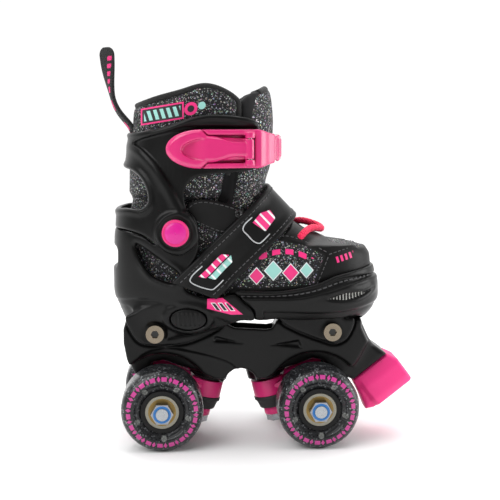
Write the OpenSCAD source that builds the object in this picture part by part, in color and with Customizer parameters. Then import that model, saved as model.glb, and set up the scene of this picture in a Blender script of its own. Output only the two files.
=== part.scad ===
// Adjustable quad roller skate for a child, right foot, shown at its smallest size.
// X runs from heel to toe, Y across the skate with the buckle side at -Y, Z up from the ground.
// Inside the file heights are measured from the line of the axles, and X from midway between them.

/* [Wheels] */
// Diameter of a wheel over its tyre
wheel_d = 54; // [50:0.5:58]
// Width of a wheel
wheel_w = 32; // [28:0.5:33]
// Rounding of the tyre's shoulders
shoulder_r = 7; // [3:0.5:9]
// Diameter of the hub core
hub_d = 28; // [26:0.5:34]
// Depth of the hub's ends below the tyre's faces
hub_inset = 1; // [0.5:0.1:2]
// Diameter of the plain bore between the bearings
hub_bore_d = 18; // [14:0.5:19]
// Outer diameter of a ball bearing
bearing_d = 22; // [20:0.5:24]
// Width of a ball bearing
bearing_w = 7; // [6:0.5:8]
// Diameter of an axle
axle_d = 8; // [6:0.1:8.4]
// Length of thread beyond an axle nut
axle_end = 0.7; // [0.3:0.1:3]
// Distance between the front and rear axles
wheelbase = 103; // [100:1:110]
// Distance over the outer faces of a pair of wheels
track = 102; // [100:1:110]
// Outer diameter of the spacer between two bearings
spacer_d = 11; // [10:0.5:13]

/* [Trucks] */
// Distance from the axle to the middle of the hanger's ring
ring_reach = 29; // [28:0.5:31]
// Height of the ring's middle above the axle
ring_rise = 6; // [5:0.5:8]
// Outer diameter of the ring
ring_d = 24; // [22:0.5:26]
// Thickness of the ring
ring_t = 11; // [9:0.5:12]
// Diameter of the hanger's axle tube
tube_d = 13; // [11:0.5:15]
// Lean of the kingpin from upright
kingpin_lean = 14; // [8:1:18]
// Diameter of a kingpin
kingpin_d = 8; // [6:0.5:8]
// Width across the flats of the nuts
nut_af = 13; // [12:0.5:14]
// Height of the nuts
nut_h = 6; // [4:0.5:7]
// Height of a kingpin nut
kingpin_nut_h = 4.5; // [4:0.5:6]
// Distance of the pivot tip behind the axle
pivot_back = 14.5; // [13:0.5:16]
// Height of the pivot tip above the axle
pivot_rise = 24; // [22:0.5:26]
// Diameter of the pivot pin
pivot_d = 7; // [6:0.5:8]
// Outer diameter of the pivot cup
cup_d = 11; // [10:0.5:12]
// Length of the pivot cup
cup_l = 8; // [6:0.5:9]
// Diameter of the lower cushion's rim
cushion_d = 25; // [22:0.5:26]
// Height of the lower cushion
cushion_h = 9; // [7:0.5:10]
// Diameter of the upper cushion
upper_cushion_d = 19; // [16:0.5:20]
// Height of the upper cushion
upper_cushion_h = 5.5; // [5:0.5:7]
// Diameter of the bush under the lower cushion
bush_d = 16; // [14:0.5:18]
// Height of that bush
bush_h = 5.5; // [4:0.5:7]

/* [Chassis] */
// Width of the chassis
chassis_w = 52; // [48:1:56]
// Height of the chassis deck above the axles
deck_rise = 55; // [53:0.5:58]
// Room over a tyre under the arches
arch_gap = 6; // [5.5:0.5:8]
// Distance from mid wheelbase to the rear bolt
rear_bolt_x = -56; // [-60:0.5:-52]
// Distance from mid wheelbase to the front bolt
front_bolt_x = 62; // [58:0.5:64]
// Depth of the bolts below the deck
bolt_drop = 7; // [6:0.5:9]
// Diameter of a bolt
bolt_d = 6; // [5:0.5:7]
// Diameter of a bolt's head
bolt_head_d = 12; // [11:0.5:13]
// Height of a bolt's head
bolt_head_h = 3.5; // [3:0.5:5]
// Diameter of the sleeve that the bolts screw into
sleeve_d = 10; // [9:0.5:11]
// Width of the toe stop
stop_w = 30; // [26:1:34]
// Length of the toe stop along its screw
stop_l = 26.7; // [24:0.1:28]
// Diameter of the toe stop's screw
stop_screw_d = 6; // [5:0.5:7]

/* [Shell] */
// Wall of the heel and toe shells
shell_wall = 2.5; // [2:0.1:3]
// Thickness of the floor plate
floor_t = 3; // [2.5:0.1:3.5]
// Height of the floor plate's top above the axles
floor_rise = 69; // [68.5:0.1:70]
// Thickness of the bolt ears
ear_t = 3; // [2.5:0.1:3.5]
// Thickness of the footbed
footbed_t = 4; // [3:0.5:5]
// How far the toe shell slides out
size_travel = 20; // [10:10:20]
// Distance between two size steps
size_step = 10; // [10:1:10]
// Length of the push button
button_l = 24; // [20:0.5:26]
// Height of the push button
button_h = 14; // [12:0.5:15]
// Travel of the push button
button_travel = 2; // [1.5:0.1:2]

/* [Cuff] */
// Wall of the cuff
cuff_wall = 2.8; // [2.2:0.1:3]
// Distance from mid wheelbase to the cuff's pivot
cuff_x = -42; // [-44:0.5:-40]
// Height of the cuff's pivot above the axles
cuff_rise = 116; // [115:0.5:117]
// Diameter of the cuff's pivot pins
pin_d = 6; // [5:0.5:7]
// Outer diameter of the bush on a pivot pin
pin_bush_d = 10; // [9:0.5:11]
// Diameter of the caps over the pivots
cap_d = 17.6; // [15:0.2:19]
// Height of a cap's dome
cap_h = 3.2; // [2.5:0.1:4]

/* [Buckle] */
// Length of the lever behind its pin
lever_l = 54; // [48:1:56]
// Height of the lever
lever_h = 25; // [24:0.5:26]
// Thickness of the lever
lever_t = 4.5; // [3.5:0.1:5]
// Distance from mid wheelbase to the lever's pin
lever_pin_x = 6; // [4:0.5:8]
// Diameter of the lever's pin
lever_pin_d = 3; // [2.5:0.1:3.5]
// Height of the buckle's middle above the axles
buckle_rise = 170; // [168:0.5:172]
// Width of the ladder strap
ladder_w = 17; // [14:0.5:18]
// Thickness of the ladder strap
ladder_t = 2.3; // [2:0.1:2.6]

/* [Boot] */
// Wall of the boot's lower part
boot_wall = 4; // [3:0.5:5]
// Padded wall of the ankle collar
collar_wall = 7; // [5:0.5:8]
// Padded thickness of the tongue
tongue_t = 10; // [8:0.5:12]
// Width of the instep strap
strap_w = 28; // [24:0.5:30]
// Thickness of the instep strap
strap_t = 2.4; // [2:0.1:3]
// Diameter of the lace
lace_d = 4.6; // [4:0.1:5]
// Outer diameter of an eyelet
eyelet_d = 7.5; // [7:0.1:9]
// Width of the pull loop's webbing
loop_w = 12; // [9:0.5:14]
// Thickness of the pull loop's two layers
loop_t = 2.6; // [2:0.1:3.5]

/* [Fits] */
// Gap between pieces that move past each other
run_gap = 0.3; // [0.3:0.05:0.5]
// Radial clearance of a turning fit
turn_fit = 0.03; // [0.02:0.01:0.08]
// Forward lean of the cuff
cuff_forward = 6; // [4:0.5:6]
// Backward lean of the cuff
cuff_back = 1; // [0.5:0.1:1.2]
// Lean of a truck to either side
truck_lean = 8; // [5:1:10]

/* [Hidden] */
$fn = 72;

// Colours
black_plastic = [0.07, 0.07, 0.08];
pink_plastic = [0.95, 0.12, 0.45];
glitter_cloth = [0.16, 0.16, 0.18];
steel = [0.72, 0.73, 0.75];
dark_rubber = [0.1, 0.1, 0.11];
smoke_urethane = [0.22, 0.22, 0.25];

// Section outlines: height, back, front, widest place and half width of each level
shape_n = 2.4;
ring_n = 40;
boot_rows = [
    [69, -74, 84, 34, 32.5], [77, -78, 90.4, 34, 34], [88, -79, 90.6, 32, 34.5], [97, -79, 90, 28, 34],
    [102, -78.5, 87, 24, 33.5], [105, -78.5, 80, 20, 33], [107, -78.5, 65, 14, 32.5], [111, -78, 54, 8, 32],
    [119, -77.5, 39, 0, 31.5], [128, -76, 29.5, -10, 31.5], [138, -74, 21, -18, 32], [145, -73.5, 18, -22, 33],
    [158, -73, 21.5, -24, 34], [173, -71, 23, -25, 35], [188, -70, 24, -25, 35.5], [203, -69, 23, -25, 35.5],
    [216, -69, 20, -25, 35], [240, -69, 20, -25, 35]
];
heel_rows = [
    [51, -77, 97, -5, 35], [57, -79, 97, -5, 38], [65, -82, 97, -5, 40], [77, -84, 97, -8, 40],
    [89, -84, 80, -16, 39], [103, -83.5, 50, -24, 38.3], [112, -83, 30, -27, 38],
    [118, -82, 30, -27, 37.8], [131, -78.5, 28, -28, 37.3], [142, -77, 28, -28, 37]
];
toe_rows = [
    [51, -80, 84, 34, 32], [57, -80, 91, 34, 37], [63, -80, 95, 34, 40], [71, -80, 97, 34, 41.2],
    [79, -80, 96.7, 34, 41.2], [85, -80, 94.8, 34, 40.5], [90, -80, 93.5, 34, 40],
    [100, -80, 92, 34, 39]
];
cuff_rows = [
    [98, -83.5, 34, -26, 42], [116, -82.5, 34, -26, 42], [129, -81.5, 32, -27, 41.5], [143, -78.5, 31, -27, 41],
    [156, -77, 31, -27, 41], [179, -75, 31, -27, 41.5], [205, -74, 31, -27, 41.5]
];

function level(rows, z, k) = lookup(z, [for (r = rows) [r[0], r[k]]]);
function bow(c) = sign(c) * pow(abs(c), 2 / shape_n);
function outline(rows, z, grow) =
    let (b = level(rows, z, 1), f = level(rows, z, 2), m = level(rows, z, 3), h = level(rows, z, 4))
    [for (i = [0:ring_n - 1])
        let (c = cos(360 * i / ring_n), s = sin(360 * i / ring_n))
        [m + (c > 0 ? f - m + grow : m - b + grow) * bow(c), (h + grow) * bow(s)]];
function half_width(rows, x, z) =
    let (b = level(rows, z, 1), f = level(rows, z, 2), m = level(rows, z, 3), h = level(rows, z, 4))
    let (t = min(1, abs(x - m) / (x > m ? f - m : m - b)))
    h * pow(1 - pow(t, shape_n), 1 / shape_n);

// A solid through the section outlines, moved out by grow
module loft(rows, grow = 0) {
    for (i = [0:len(rows) - 2]) {
        low = [for (p = outline(rows, rows[i][0], grow)) [p[0], p[1], rows[i][0]]];
        high = [for (p = outline(rows, rows[i + 1][0], grow)) [p[0], p[1], rows[i + 1][0]]];
        hull()
            polyhedron(
                concat(low, high),
                [[for (k = [0:ring_n - 1]) k], [for (k = [0:ring_n - 1]) ring_n + k]]
            );
    }
}

// A wall whose inside is dropped by its own thickness, so that steps and crowns keep their wall
module lofted_wall(rows, wall) {
    difference() {
        loft(rows);
        translate([0, 0, -wall])
            loft(rows, -wall);
    }
}

// A side-view outline carried across the skate from y0 to y1
module across(y0, y1) {
    translate([0, y1, 0])
        rotate([90, 0, 0])
            linear_extrude(y1 - y0)
                children();
}

module both_sides() {
    children();
    mirror([0, 1, 0])
        children();
}

// Puts the model's ground under the wheels and its origin under its middle
module place() {
    translate([-frame_x, 0, wheel_d / 2])
        children();
}

// Height of the deck that the boot and its shells are drawn for; they move up and down with the deck
drawn_deck = 55;
deck_shift = deck_rise - drawn_deck;

module place_boot() {
    place()
        translate([0, 0, deck_shift])
            children();
}

// Truck frame: origin on the axle, X towards the middle of the skate; end is -1 at the rear, 1 at the front
module on_truck(end) {
    translate([end * wheelbase / 2, 0, 0])
        mirror([end > 0 ? 1 : 0, 0, 0])
            children();
}

module on_kingpin() {
    translate([ring_reach, 0, ring_rise])
        rotate([0, kingpin_lean, 0])
            children();
}

steer_x = ring_reach + pivot_back;
steer_z = pivot_rise - ring_rise;
steer_l = norm([steer_x, steer_z]);
steer_angle = atan2(steer_x, steer_z);

module on_steer() {
    translate([ring_reach, 0, ring_rise])
        rotate([0, -steer_angle, 0])
            children();
}

module tube(d, bore, h) {
    difference() {
        cylinder(d = d, h = h);
        translate([0, 0, -1])
            cylinder(d = bore, h = h + 2);
    }
}

module hex(af, h) {
    cylinder(d = af / cos(30), h = h, $fn = 6);
}

module hex_nut(h, bore) {
    difference() {
        hex(nut_af, h);
        translate([0, 0, -1])
            cylinder(d = bore, h = h + 2);
    }
}

// Wheels
hub_out = track / 2 - hub_inset;
hub_in = track / 2 - wheel_w + hub_inset;
tube_end = hub_in - run_gap;
nut_in = hub_out + run_gap;

// Carries a wheel piece drawn along +Z with its outer end at 0 to its place: side is -1 at -Y, 1 at +Y
module on_wheel(end, side, out) {
    translate([end * wheelbase / 2, side * out, 0])
        rotate([side * 90, 0, 0])
            children();
}

module tyre(end, side) {
    color(smoke_urethane)
        place()
            on_wheel(end, side, track / 2)
                difference() {
                    rotate_extrude() {
                        translate([hub_d / 2, 0])
                            square([(wheel_d - hub_d) / 2 - shoulder_r, wheel_w]);
                        translate([hub_d / 2, shoulder_r])
                            square([(wheel_d - hub_d) / 2, wheel_w - 2 * shoulder_r]);
                        for (y = [shoulder_r, wheel_w - shoulder_r])
                            translate([wheel_d / 2 - shoulder_r, y])
                                circle(r = shoulder_r);
                    }
                    translate([0, 0, -1])
                        cylinder(d = hub_d, h = wheel_w + 2);
                }
}

module hub(end, side) {
    length = hub_out - hub_in;
    color(black_plastic)
        place()
            on_wheel(end, side, hub_out)
                difference() {
                    cylinder(d = hub_d, h = length);
                    translate([0, 0, -1])
                        cylinder(d = bearing_d, h = bearing_w + 1);
                    translate([0, 0, length - bearing_w])
                        cylinder(d = bearing_d, h = bearing_w + 1);
                    translate([0, 0, -1])
                        cylinder(d = hub_bore_d, h = length + 2);
                }
}

module bearings(end, side) {
    color(steel)
        place()
            for (out = [hub_out, hub_in + bearing_w])
                on_wheel(end, side, out)
                    tube(bearing_d, axle_d + 2 * turn_fit, bearing_w);
}

module spacers(end) {
    color(steel)
        place()
            for (side = [-1, 1])
                on_wheel(end, side, hub_out - bearing_w - run_gap)
                    tube(spacer_d, axle_d, hub_out - hub_in - 2 * bearing_w - 2 * run_gap);
}

module axle(end) {
    half = nut_in + nut_h + axle_end;
    color(steel)
        place()
            translate([end * wheelbase / 2, half, 0])
                rotate([90, 0, 0])
                    cylinder(d = axle_d, h = 2 * half);
}

module axle_nuts(end) {
    color(steel)
        place()
            for (side = [-1, 1])
                on_wheel(end, side, nut_in + nut_h)
                    hex_nut(nut_h, axle_d);
}

// Trucks
ring_play = 1.2;
web_half = track / 2 - wheel_w - 0.5;
ring_bore_d = kingpin_d + 2 * ring_play;
arm_l = steer_l - cup_l - 1;
lobe_gap = ring_d / 2 * sin(truck_lean) + 0.6;

module hanger(end) {
    color(pink_plastic)
        place()
            on_truck(end)
                difference() {
                    union() {
                        on_kingpin()
                            translate([0, 0, -ring_t / 2])
                                cylinder(d = ring_d, h = ring_t);
                        translate([0, tube_end, 0])
                            rotate([90, 0, 0])
                                cylinder(d = tube_d, h = 2 * tube_end);
                        intersection() {
                            across(-tube_end, tube_end)
                                polygon([
                                    [ring_reach - 1, ring_rise + 1], [ring_reach - 10, ring_rise + 8],
                                    [ring_reach - 22, ring_rise + 10], [-2, tube_d / 2], [-tube_d / 2, 0],
                                    [-1, -tube_d / 2], [ring_reach - 21, -3], [ring_reach - 13, ring_rise - 1.5]
                                ]);
                            translate([0, 0, -tube_d])
                                linear_extrude(4 * tube_d)
                                    polygon([
                                        [ring_reach, -ring_d / 2 + 1], [ring_reach, ring_d / 2 - 1],
                                        [4, web_half],
                                        [-tube_d / 2, web_half], [-tube_d / 2, -web_half], [4, -web_half]
                                    ]);
                        }
                        on_steer()
                            cylinder(d = pivot_d + 5, h = arm_l);
                        on_steer()
                            cylinder(d = pivot_d, h = steer_l - 1);
                    }
                    on_kingpin()
                        translate([0, 0, -ring_d])
                            cylinder(d = ring_bore_d, h = 2 * ring_d);
                    on_kingpin()
                        translate([0, 0, ring_t / 2])
                            cylinder(d = ring_d, h = ring_d);
                    translate([0, tube_end + 1, 0])
                        rotate([90, 0, 0])
                            cylinder(d = axle_d, h = 2 * tube_end + 2);
                }
}

module pivot_cups() {
    color(dark_rubber)
        place()
            for (end = [-1, 1])
                on_truck(end)
                    on_steer()
                        translate([0, 0, steer_l - cup_l])
                            difference() {
                                cylinder(d = cup_d, h = cup_l + 1);
                                translate([0, 0, -1])
                                    cylinder(d = pivot_d + 2 * turn_fit, h = cup_l + 0.5);
                            }
}

// Heights along a kingpin from the middle of the hanger's ring
upper_top = ring_t / 2 + upper_cushion_h;
lower_end = -ring_t / 2 - cushion_h;
bush_end = lower_end - bush_h;
nut_end = bush_end - kingpin_nut_h;
kingpin_seat = upper_top + 13;
kingpin_head_h = 5;

module upper_cushion(end) {
    color(dark_rubber)
        place()
            on_truck(end)
                on_kingpin()
                    translate([0, 0, ring_t / 2])
                        tube(upper_cushion_d, kingpin_d, upper_cushion_h);
}

module lower_cushion(end) {
    rim = cushion_h / 3;
    color(dark_rubber)
        place()
            on_truck(end)
                on_kingpin()
                    translate([0, 0, lower_end])
                        difference() {
                            union() {
                                cylinder(d1 = cushion_d - 5, d2 = cushion_d - 2, h = cushion_h);
                                translate([0, 0, cushion_h - rim])
                                    cylinder(d = cushion_d, h = rim);
                            }
                            translate([0, 0, -1])
                                cylinder(d = kingpin_d, h = cushion_h + 2);
                        }
}

module lower_bushes() {
    color(pink_plastic)
        place()
            for (end = [-1, 1])
                on_truck(end)
                    on_kingpin()
                        translate([0, 0, bush_end])
                            tube(bush_d, kingpin_d, bush_h);
}

module kingpins() {
    color(steel)
        place()
            for (end = [-1, 1])
                on_truck(end)
                    on_kingpin() {
                        translate([0, 0, nut_end - axle_end])
                            cylinder(d = kingpin_d, h = kingpin_seat - nut_end + axle_end);
                        translate([0, 0, kingpin_seat])
                            hex(nut_af, kingpin_head_h);
                    }
}

module kingpin_nuts() {
    color(steel)
        place()
            for (end = [-1, 1])
                on_truck(end)
                    on_kingpin()
                        translate([0, 0, nut_end])
                            hex_nut(kingpin_nut_h, kingpin_d);
}

// Chassis
chassis_half = chassis_w / 2;
bolt_rise = deck_rise - bolt_drop;
arch_r = wheel_d / 2 + arch_gap;
arch_in = track / 2 - wheel_w - 2.5;
skirt_rise = 15.5;
slot_floor = 46.5;
groove_depth = 1.5;
side_grooves = [
    [[-13, 44], [-14.5, 39.5], [9, 38]], [[18, 37.5], [37, 42], [41, 36]]
];
slot_rear = -12;
slot_front = 24;
ear_in = chassis_half + run_gap;
ear_out = ear_in + ear_t;
stop_seat_low = [79, 11];
stop_seat_high = [102, 29];
stop_slope = atan2(stop_seat_high[1] - stop_seat_low[1], stop_seat_high[0] - stop_seat_low[0]);
stop_mid = (stop_seat_low + stop_seat_high) / 2;
stop_screw_l = 16;

// Frame on the toe stop's seat: +Z out of the chassis along the screw
module on_stop_seat() {
    translate([stop_mid[0], 0, stop_mid[1]])
        rotate([0, 180 - stop_slope, 0])
            children();
}

module chassis() {
    rear = -wheelbase / 2;
    front = wheelbase / 2;
    color(black_plastic)
        place()
            difference() {
                union() {
                    across(-chassis_half, chassis_half)
                        polygon([
                            [rear - 24, deck_rise], [rear - 25.5, deck_rise - 4], [rear - 25.5, 41],
                            [rear - 23.5, 30], [rear - 19.5, 20], [rear - 17.5, 16], [rear - 11, 14.5],
                            [rear - 7, 25.5], [rear + 1, 27], [rear + 10, 23.5], [rear + 17, 21.5],
                            [rear + 32, 17], [rear + 42, 11], [rear + 44, 20], [2, 23], [front - 41, 21],
                            [front - 39, 11.6], [front - 30, 17], [front - 17, 21.5], [front - 10, 23.5],
                            [front - 1, 27], [front + 7, 25.5], [front + 11, 14.5], [front + 19, 16],
                            [front + 35.5, 40], [front + 31, 50], [front + 31, deck_rise],
                            [slot_front, deck_rise], [slot_front - 4, slot_floor], [slot_rear + 12, slot_floor],
                            [slot_rear, deck_rise]
                        ]);
                    for (end = [-1, 1])
                        on_truck(end)
                            on_kingpin()
                                translate([0, 0, ring_t / 2 + lobe_gap])
                                    cylinder(d = ring_d + 3, h = 20);
                    across(-stop_w / 2, stop_w / 2)
                        polygon([
                            [front + 31, 50], [front + 35.5, 40], stop_seat_high, stop_seat_low,
                            [front + 19, 16], [front + 8, 33]
                        ]);
                }
                for (end = [-1, 1], side = [-1, 1])
                    translate([end * wheelbase / 2, side * (arch_in + track) / 2, 0])
                        rotate([90, 0, 0])
                            cylinder(r = arch_r, h = track - arch_in, center = true);
                both_sides()
                    translate([rear, -track / 2, 0])
                        cube([wheelbase, track / 2 - arch_in, skirt_rise]);
                for (end = [-1, 1])
                    on_truck(end) {
                        on_kingpin() {
                            cylinder(d = kingpin_d, h = 60);
                            cylinder(d = upper_cushion_d + 2, h = upper_top);
                            translate([0, 0, kingpin_seat])
                                cylinder(d = nut_af / cos(30) + 1, h = 60);
                        }
                        on_steer() {
                            translate([0, 0, steer_l - cup_l])
                                cylinder(d = cup_d, h = cup_l + 1);
                            cylinder(d = pivot_d + 8, h = steer_l - cup_l);
                        }
                    }
                for (x = [rear_bolt_x, front_bolt_x])
                    translate([x, 0, bolt_rise])
                        rotate([90, 0, 0])
                            cylinder(d = sleeve_d, h = chassis_w + 2, center = true);
                on_stop_seat()
                    translate([0, 0, -stop_screw_l])
                        cylinder(d = stop_screw_d, h = stop_screw_l + 1);
                both_sides()
                    for (groove = side_grooves)
                        across(-chassis_half - 1, -chassis_half + groove_depth)
                            polygon(groove);
            }
}

module cross_sleeves() {
    color(steel)
        place()
            for (x = [rear_bolt_x, front_bolt_x])
                translate([x, chassis_half, bolt_rise])
                    rotate([90, 0, 0])
                        tube(sleeve_d, bolt_d, chassis_w);
}

module chassis_bolts() {
    socket_af = bolt_d * 0.8;
    grip = 14;
    color(steel)
        place()
            both_sides()
                for (x = [rear_bolt_x, front_bolt_x])
                    translate([x, -ear_out, bolt_rise])
                        rotate([90, 0, 0])
                            difference() {
                                union() {
                                    cylinder(d = bolt_head_d, h = bolt_head_h);
                                    translate([0, 0, -grip])
                                        cylinder(d = bolt_d, h = grip);
                                }
                                translate([0, 0, bolt_head_h - 2])
                                    hex(socket_af, 3);
                            }
}

// The toe stop: a tapered block on the chassis nose, worn flat at its end
stop_points = [
    [-14.6, 0], [14.6, 0], [18.4, 8], [18, stop_l - 1.5], [16.5, stop_l], [-15, stop_l], [-20.3, stop_l - 3.2],
    [-17.7, 15]
];

module toe_stop() {
    head_d = 11;
    head_depth = 12;
    color(pink_plastic)
        place()
            on_stop_seat()
                difference() {
                    intersection() {
                        across(-stop_w / 2, stop_w / 2)
                            polygon([for (p = stop_points) [-p[0], p[1]]]);
                        rotate([90, 0, 90])
                            linear_extrude(80, center = true)
                                polygon([
                                    [-stop_w / 2 + 3, 0], [stop_w / 2 - 3, 0], [stop_w / 2, 10],
                                    [stop_w / 2, stop_l - 5], [stop_w / 2 - 4, stop_l],
                                    [-stop_w / 2 + 4, stop_l], [-stop_w / 2, stop_l - 5], [-stop_w / 2, 10]
                                ]);
                    }
                    translate([0, 0, -1])
                        cylinder(d = stop_screw_d, h = stop_l + 2);
                    translate([0, 0, stop_l - head_depth])
                        cylinder(d = head_d + 1, h = head_depth + 1);
                }
}

module toe_stop_screw() {
    head_d = 11;
    head_h = 5;
    head_depth = 12;
    color(steel)
        place()
            on_stop_seat()
                difference() {
                    union() {
                        translate([0, 0, -stop_screw_l])
                            cylinder(d = stop_screw_d, h = stop_screw_l + stop_l - head_depth);
                        translate([0, 0, stop_l - head_depth])
                            cylinder(d = head_d, h = head_h);
                    }
                    translate([0, 0, stop_l - head_depth + head_h - 3])
                        hex(5, 4);
                }
}

// Heel shell
floor_low = floor_rise - floor_t;
tongue_half = chassis_half;
heel_front = 9;
heel_edge = [
    [-95, 51], [slot_rear, 53], [0, 57.5], [heel_front - 1, 58.5], [heel_front, 63], [0, 72], [-4, 75],
    [-21, 73], [-36, 79],
    [-33, 91], [-28, 101], [-27, 116], [-30, 126], [-36, 130], [-48, 130],
    [-53, 127], [-54.5, 106.6], [-63, 112.9], [-77, 115.8], [-95, 115.8]
];
heel_window = [[-68, 107], [-64, 96], [-59, 89], [-55, 86], [-43, 83], [-40, 88], [-52, 97], [-65, 106]];
rear_ear = [[-75, 60], [-72, 50], [-63, 40], [-34, 41], [-25, 46], [slot_rear, 53], [slot_rear, 60]];
front_ear = [
    [26, floor_rise], [26, 57], [63, 39], [71, 41], [75, 49], [77, 56.5], [70, 56.6], [70, floor_rise]
];
tongue_front = 71;

// Push button frame: origin on the shell's skin, +Z out along the button
button_x = -34;
button_z = 58.5;
button_yaw = 9;
button_proud = 0.8;
pad_proud = 0.6;
pocket_depth = button_travel + 0.6;
pocket_back = 1.4;
stem_d = 5;

// Inner ends of the cuff's pivots, in the heel shell's uprights
pin_flange_d = 10;
shell_in = half_width(heel_rows, cuff_x, cuff_rise) - shell_wall;

module on_button() {
    translate([button_x, -button_out, button_z])
        rotate([90, 0, -button_yaw])
            children();
}

module oval(l, h) {
    for (x = [-1, 1])
        translate([x * (l - h) / 2, 0])
            circle(d = h);
    square([l - h, h], center = true);
}

module heel_shell() {
    $fn = 28;
    pad_rim = 2.2;
    pin_hole = pin_d + 0.1;
    color(black_plastic)
        place_boot()
            difference() {
                union() {
                    intersection() {
                        lofted_wall(heel_rows, shell_wall);
                        across(-60, 60)
                            polygon(heel_edge);
                    }
                    intersection() {
                        translate([0, 0, floor_low])
                            linear_extrude(floor_t)
                                polygon(outline(heel_rows, floor_low, -1));
                        union() {
                            translate([-100, -50, 0])
                                cube([100 + wing_rear - run_gap, 100, 100]);
                            translate([-100, -floor_half, 0])
                                cube([100, 2 * floor_half, 100]);
                        }
                    }
                    translate([-1, -tongue_half, floor_low])
                        cube([tongue_front + 1, 2 * tongue_half, floor_t]);
                    both_sides() {
                        across(-ear_out, -ear_in)
                            polygon(rear_ear);
                        across(-ear_out, -ear_in)
                            polygon(front_ear);
                        translate([front_ear[0][0], -ear_out, floor_low])
                            cube([tongue_front - front_ear[0][0], ear_out - tongue_half + 1, floor_t]);
                    }
                    intersection() {
                        translate([0, 0, 51])
                            linear_extrude(shell_wall)
                                difference() {
                                    polygon(outline(heel_rows, 52, -0.5));
                                    square([300, ear_in + ear_out], center = true);
                                }
                        translate([-100, -50, 0])
                            cube([100 + slot_rear, 100, 100]);
                    }
                    on_button()
                        translate([0, 0, -pocket_depth - pocket_back])
                            linear_extrude(pocket_depth + pocket_back + pad_proud)
                                oval(button_l + 2 * pad_rim, button_h + 2 * pad_rim);
                }
                across(-60, 60)
                    polygon(heel_window);
                translate([-100, -ear_in + run_gap / 2, 0])
                    cube([200, 2 * ear_in - run_gap, drawn_deck + run_gap]);
                translate([cuff_x, 0, cuff_rise])
                    rotate([90, 0, 0])
                        cylinder(d = pin_hole, h = 120, center = true);
                both_sides() {
                    translate([cuff_x, -shell_in, cuff_rise])
                        rotate([-90, 0, 0])
                            cylinder(d = pin_flange_d + 0.6, h = 6);
                    for (x = [rear_bolt_x, front_bolt_x])
                        translate([x, -ear_out, bolt_rise - deck_shift])
                            rotate([90, 0, 0])
                                cylinder(d = bolt_head_d + 1.4, h = 30);
                }
                for (x = [rear_bolt_x, front_bolt_x])
                    translate([x, 0, bolt_rise - deck_shift])
                        rotate([90, 0, 0])
                            cylinder(d = bolt_d + 0.2, h = 120, center = true);
                on_button() {
                    translate([0, 0, -pocket_depth])
                        linear_extrude(pocket_depth + 5)
                            oval(button_l + 2 * run_gap, button_h + 2 * run_gap);
                    translate([0, 0, -20])
                        cylinder(d = stem_d + 1, h = 30);
                }
            }
}

// Wings of the toe shell, which slide inside the heel shell's walls
wing_t = 2;
wing_low = floor_low - 5;
wing_high = floor_rise + 2;
wing_out = half_width(heel_rows, 0, wing_low) - shell_wall - run_gap;
wing_rear = -17;
wing_front = 15;
floor_half = wing_out - wing_t - run_gap;

// Size rail: a notched bar on the toe shell that runs inside the buckle-side wall of the heel shell
rail_out = chassis_half - 1.8;
rail_t = 2.6;
rail_in = rail_out - rail_t;
rail_low = button_z + 1.2;
rail_high = floor_low - 0.5;
button_out = half_width(heel_rows, button_x, button_z);
hook_x = button_x + (button_out - rail_in) * tan(button_yaw);
notch_w = 8;
rail_rear = hook_x - size_travel - notch_w / 2 - 2.5;
rail_front = front_ear[0][0] - size_travel - 1;

module size_rail() {
    link_l = 4;
    notch_depth = 1.4;
    color(steel)
        place_boot()
            difference() {
                union() {
                    translate([rail_rear, -rail_out, rail_low])
                        cube([rail_front - rail_rear, rail_t, rail_high - rail_low]);
                    translate([rail_front - link_l, -wing_out + wing_t, rail_low])
                        cube([link_l, wing_out - wing_t - rail_in, rail_high - rail_low]);
                }
                for (k = [0:size_travel / size_step])
                    translate([hook_x - k * size_step - notch_w / 2, -rail_in - notch_depth, rail_low - 1])
                        cube([notch_w, notch_depth + 1, rail_high - rail_low + 2]);
            }
}

module push_button() {
    hook_w = -((button_out - rail_in + run_gap + 0.5) / cos(button_yaw) + 1);
    color(black_plastic)
        place_boot()
            on_button() {
                linear_extrude(pad_proud + button_proud)
                    oval(button_l, button_h);
                translate([0, 0, -pocket_depth - pocket_back - 1])
                    cylinder(d = stem_d, h = pocket_depth + pocket_back + 1);
                translate([-2.4, -1.4, hook_w - 1.6])
                    cube([4.8, 2.2, -hook_w + 1.6 - pocket_depth - pocket_back]);
                translate([-2.4, -1.4, hook_w - 1.6])
                    cube([4.8, 6.4, 1.4]);
                translate([-2.4, 2, hook_w - 1.6])
                    cube([4.8, 3, 2.6]);
            }
}

module button_spring() {
    color(steel)
        place_boot()
            on_button()
                translate([0, 0, -pocket_depth])
                    tube(stem_d + 4, stem_d + 0.6, pocket_depth);
}

module footbed() {
    inset = boot_wall + 4 * run_gap;
    front = 2;
    color(dark_rubber)
        place_boot()
            intersection() {
                translate([0, 0, floor_rise])
                    linear_extrude(footbed_t)
                        polygon(outline(boot_rows, floor_rise + boot_wall, -inset));
                translate([-100, -50, 0])
                    cube([100 + front, 100, 200]);
            }
}

// Toe shell
toe_floor = floor_rise + run_gap;
toe_floor_t = 2;
toe_edge = [
    [heel_front + 0.6, 58.5], [27, 58], [32, 57], [77, 57], [83, 56.5], [84.5, 51], [110, 51], [110, 88],
    [67, 87.2], [49, 81], [24, 77], [-3, 77],
    [-3, 75.7], [0.7, 72.6], [heel_front + 0.6, 63.4]
];

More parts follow.
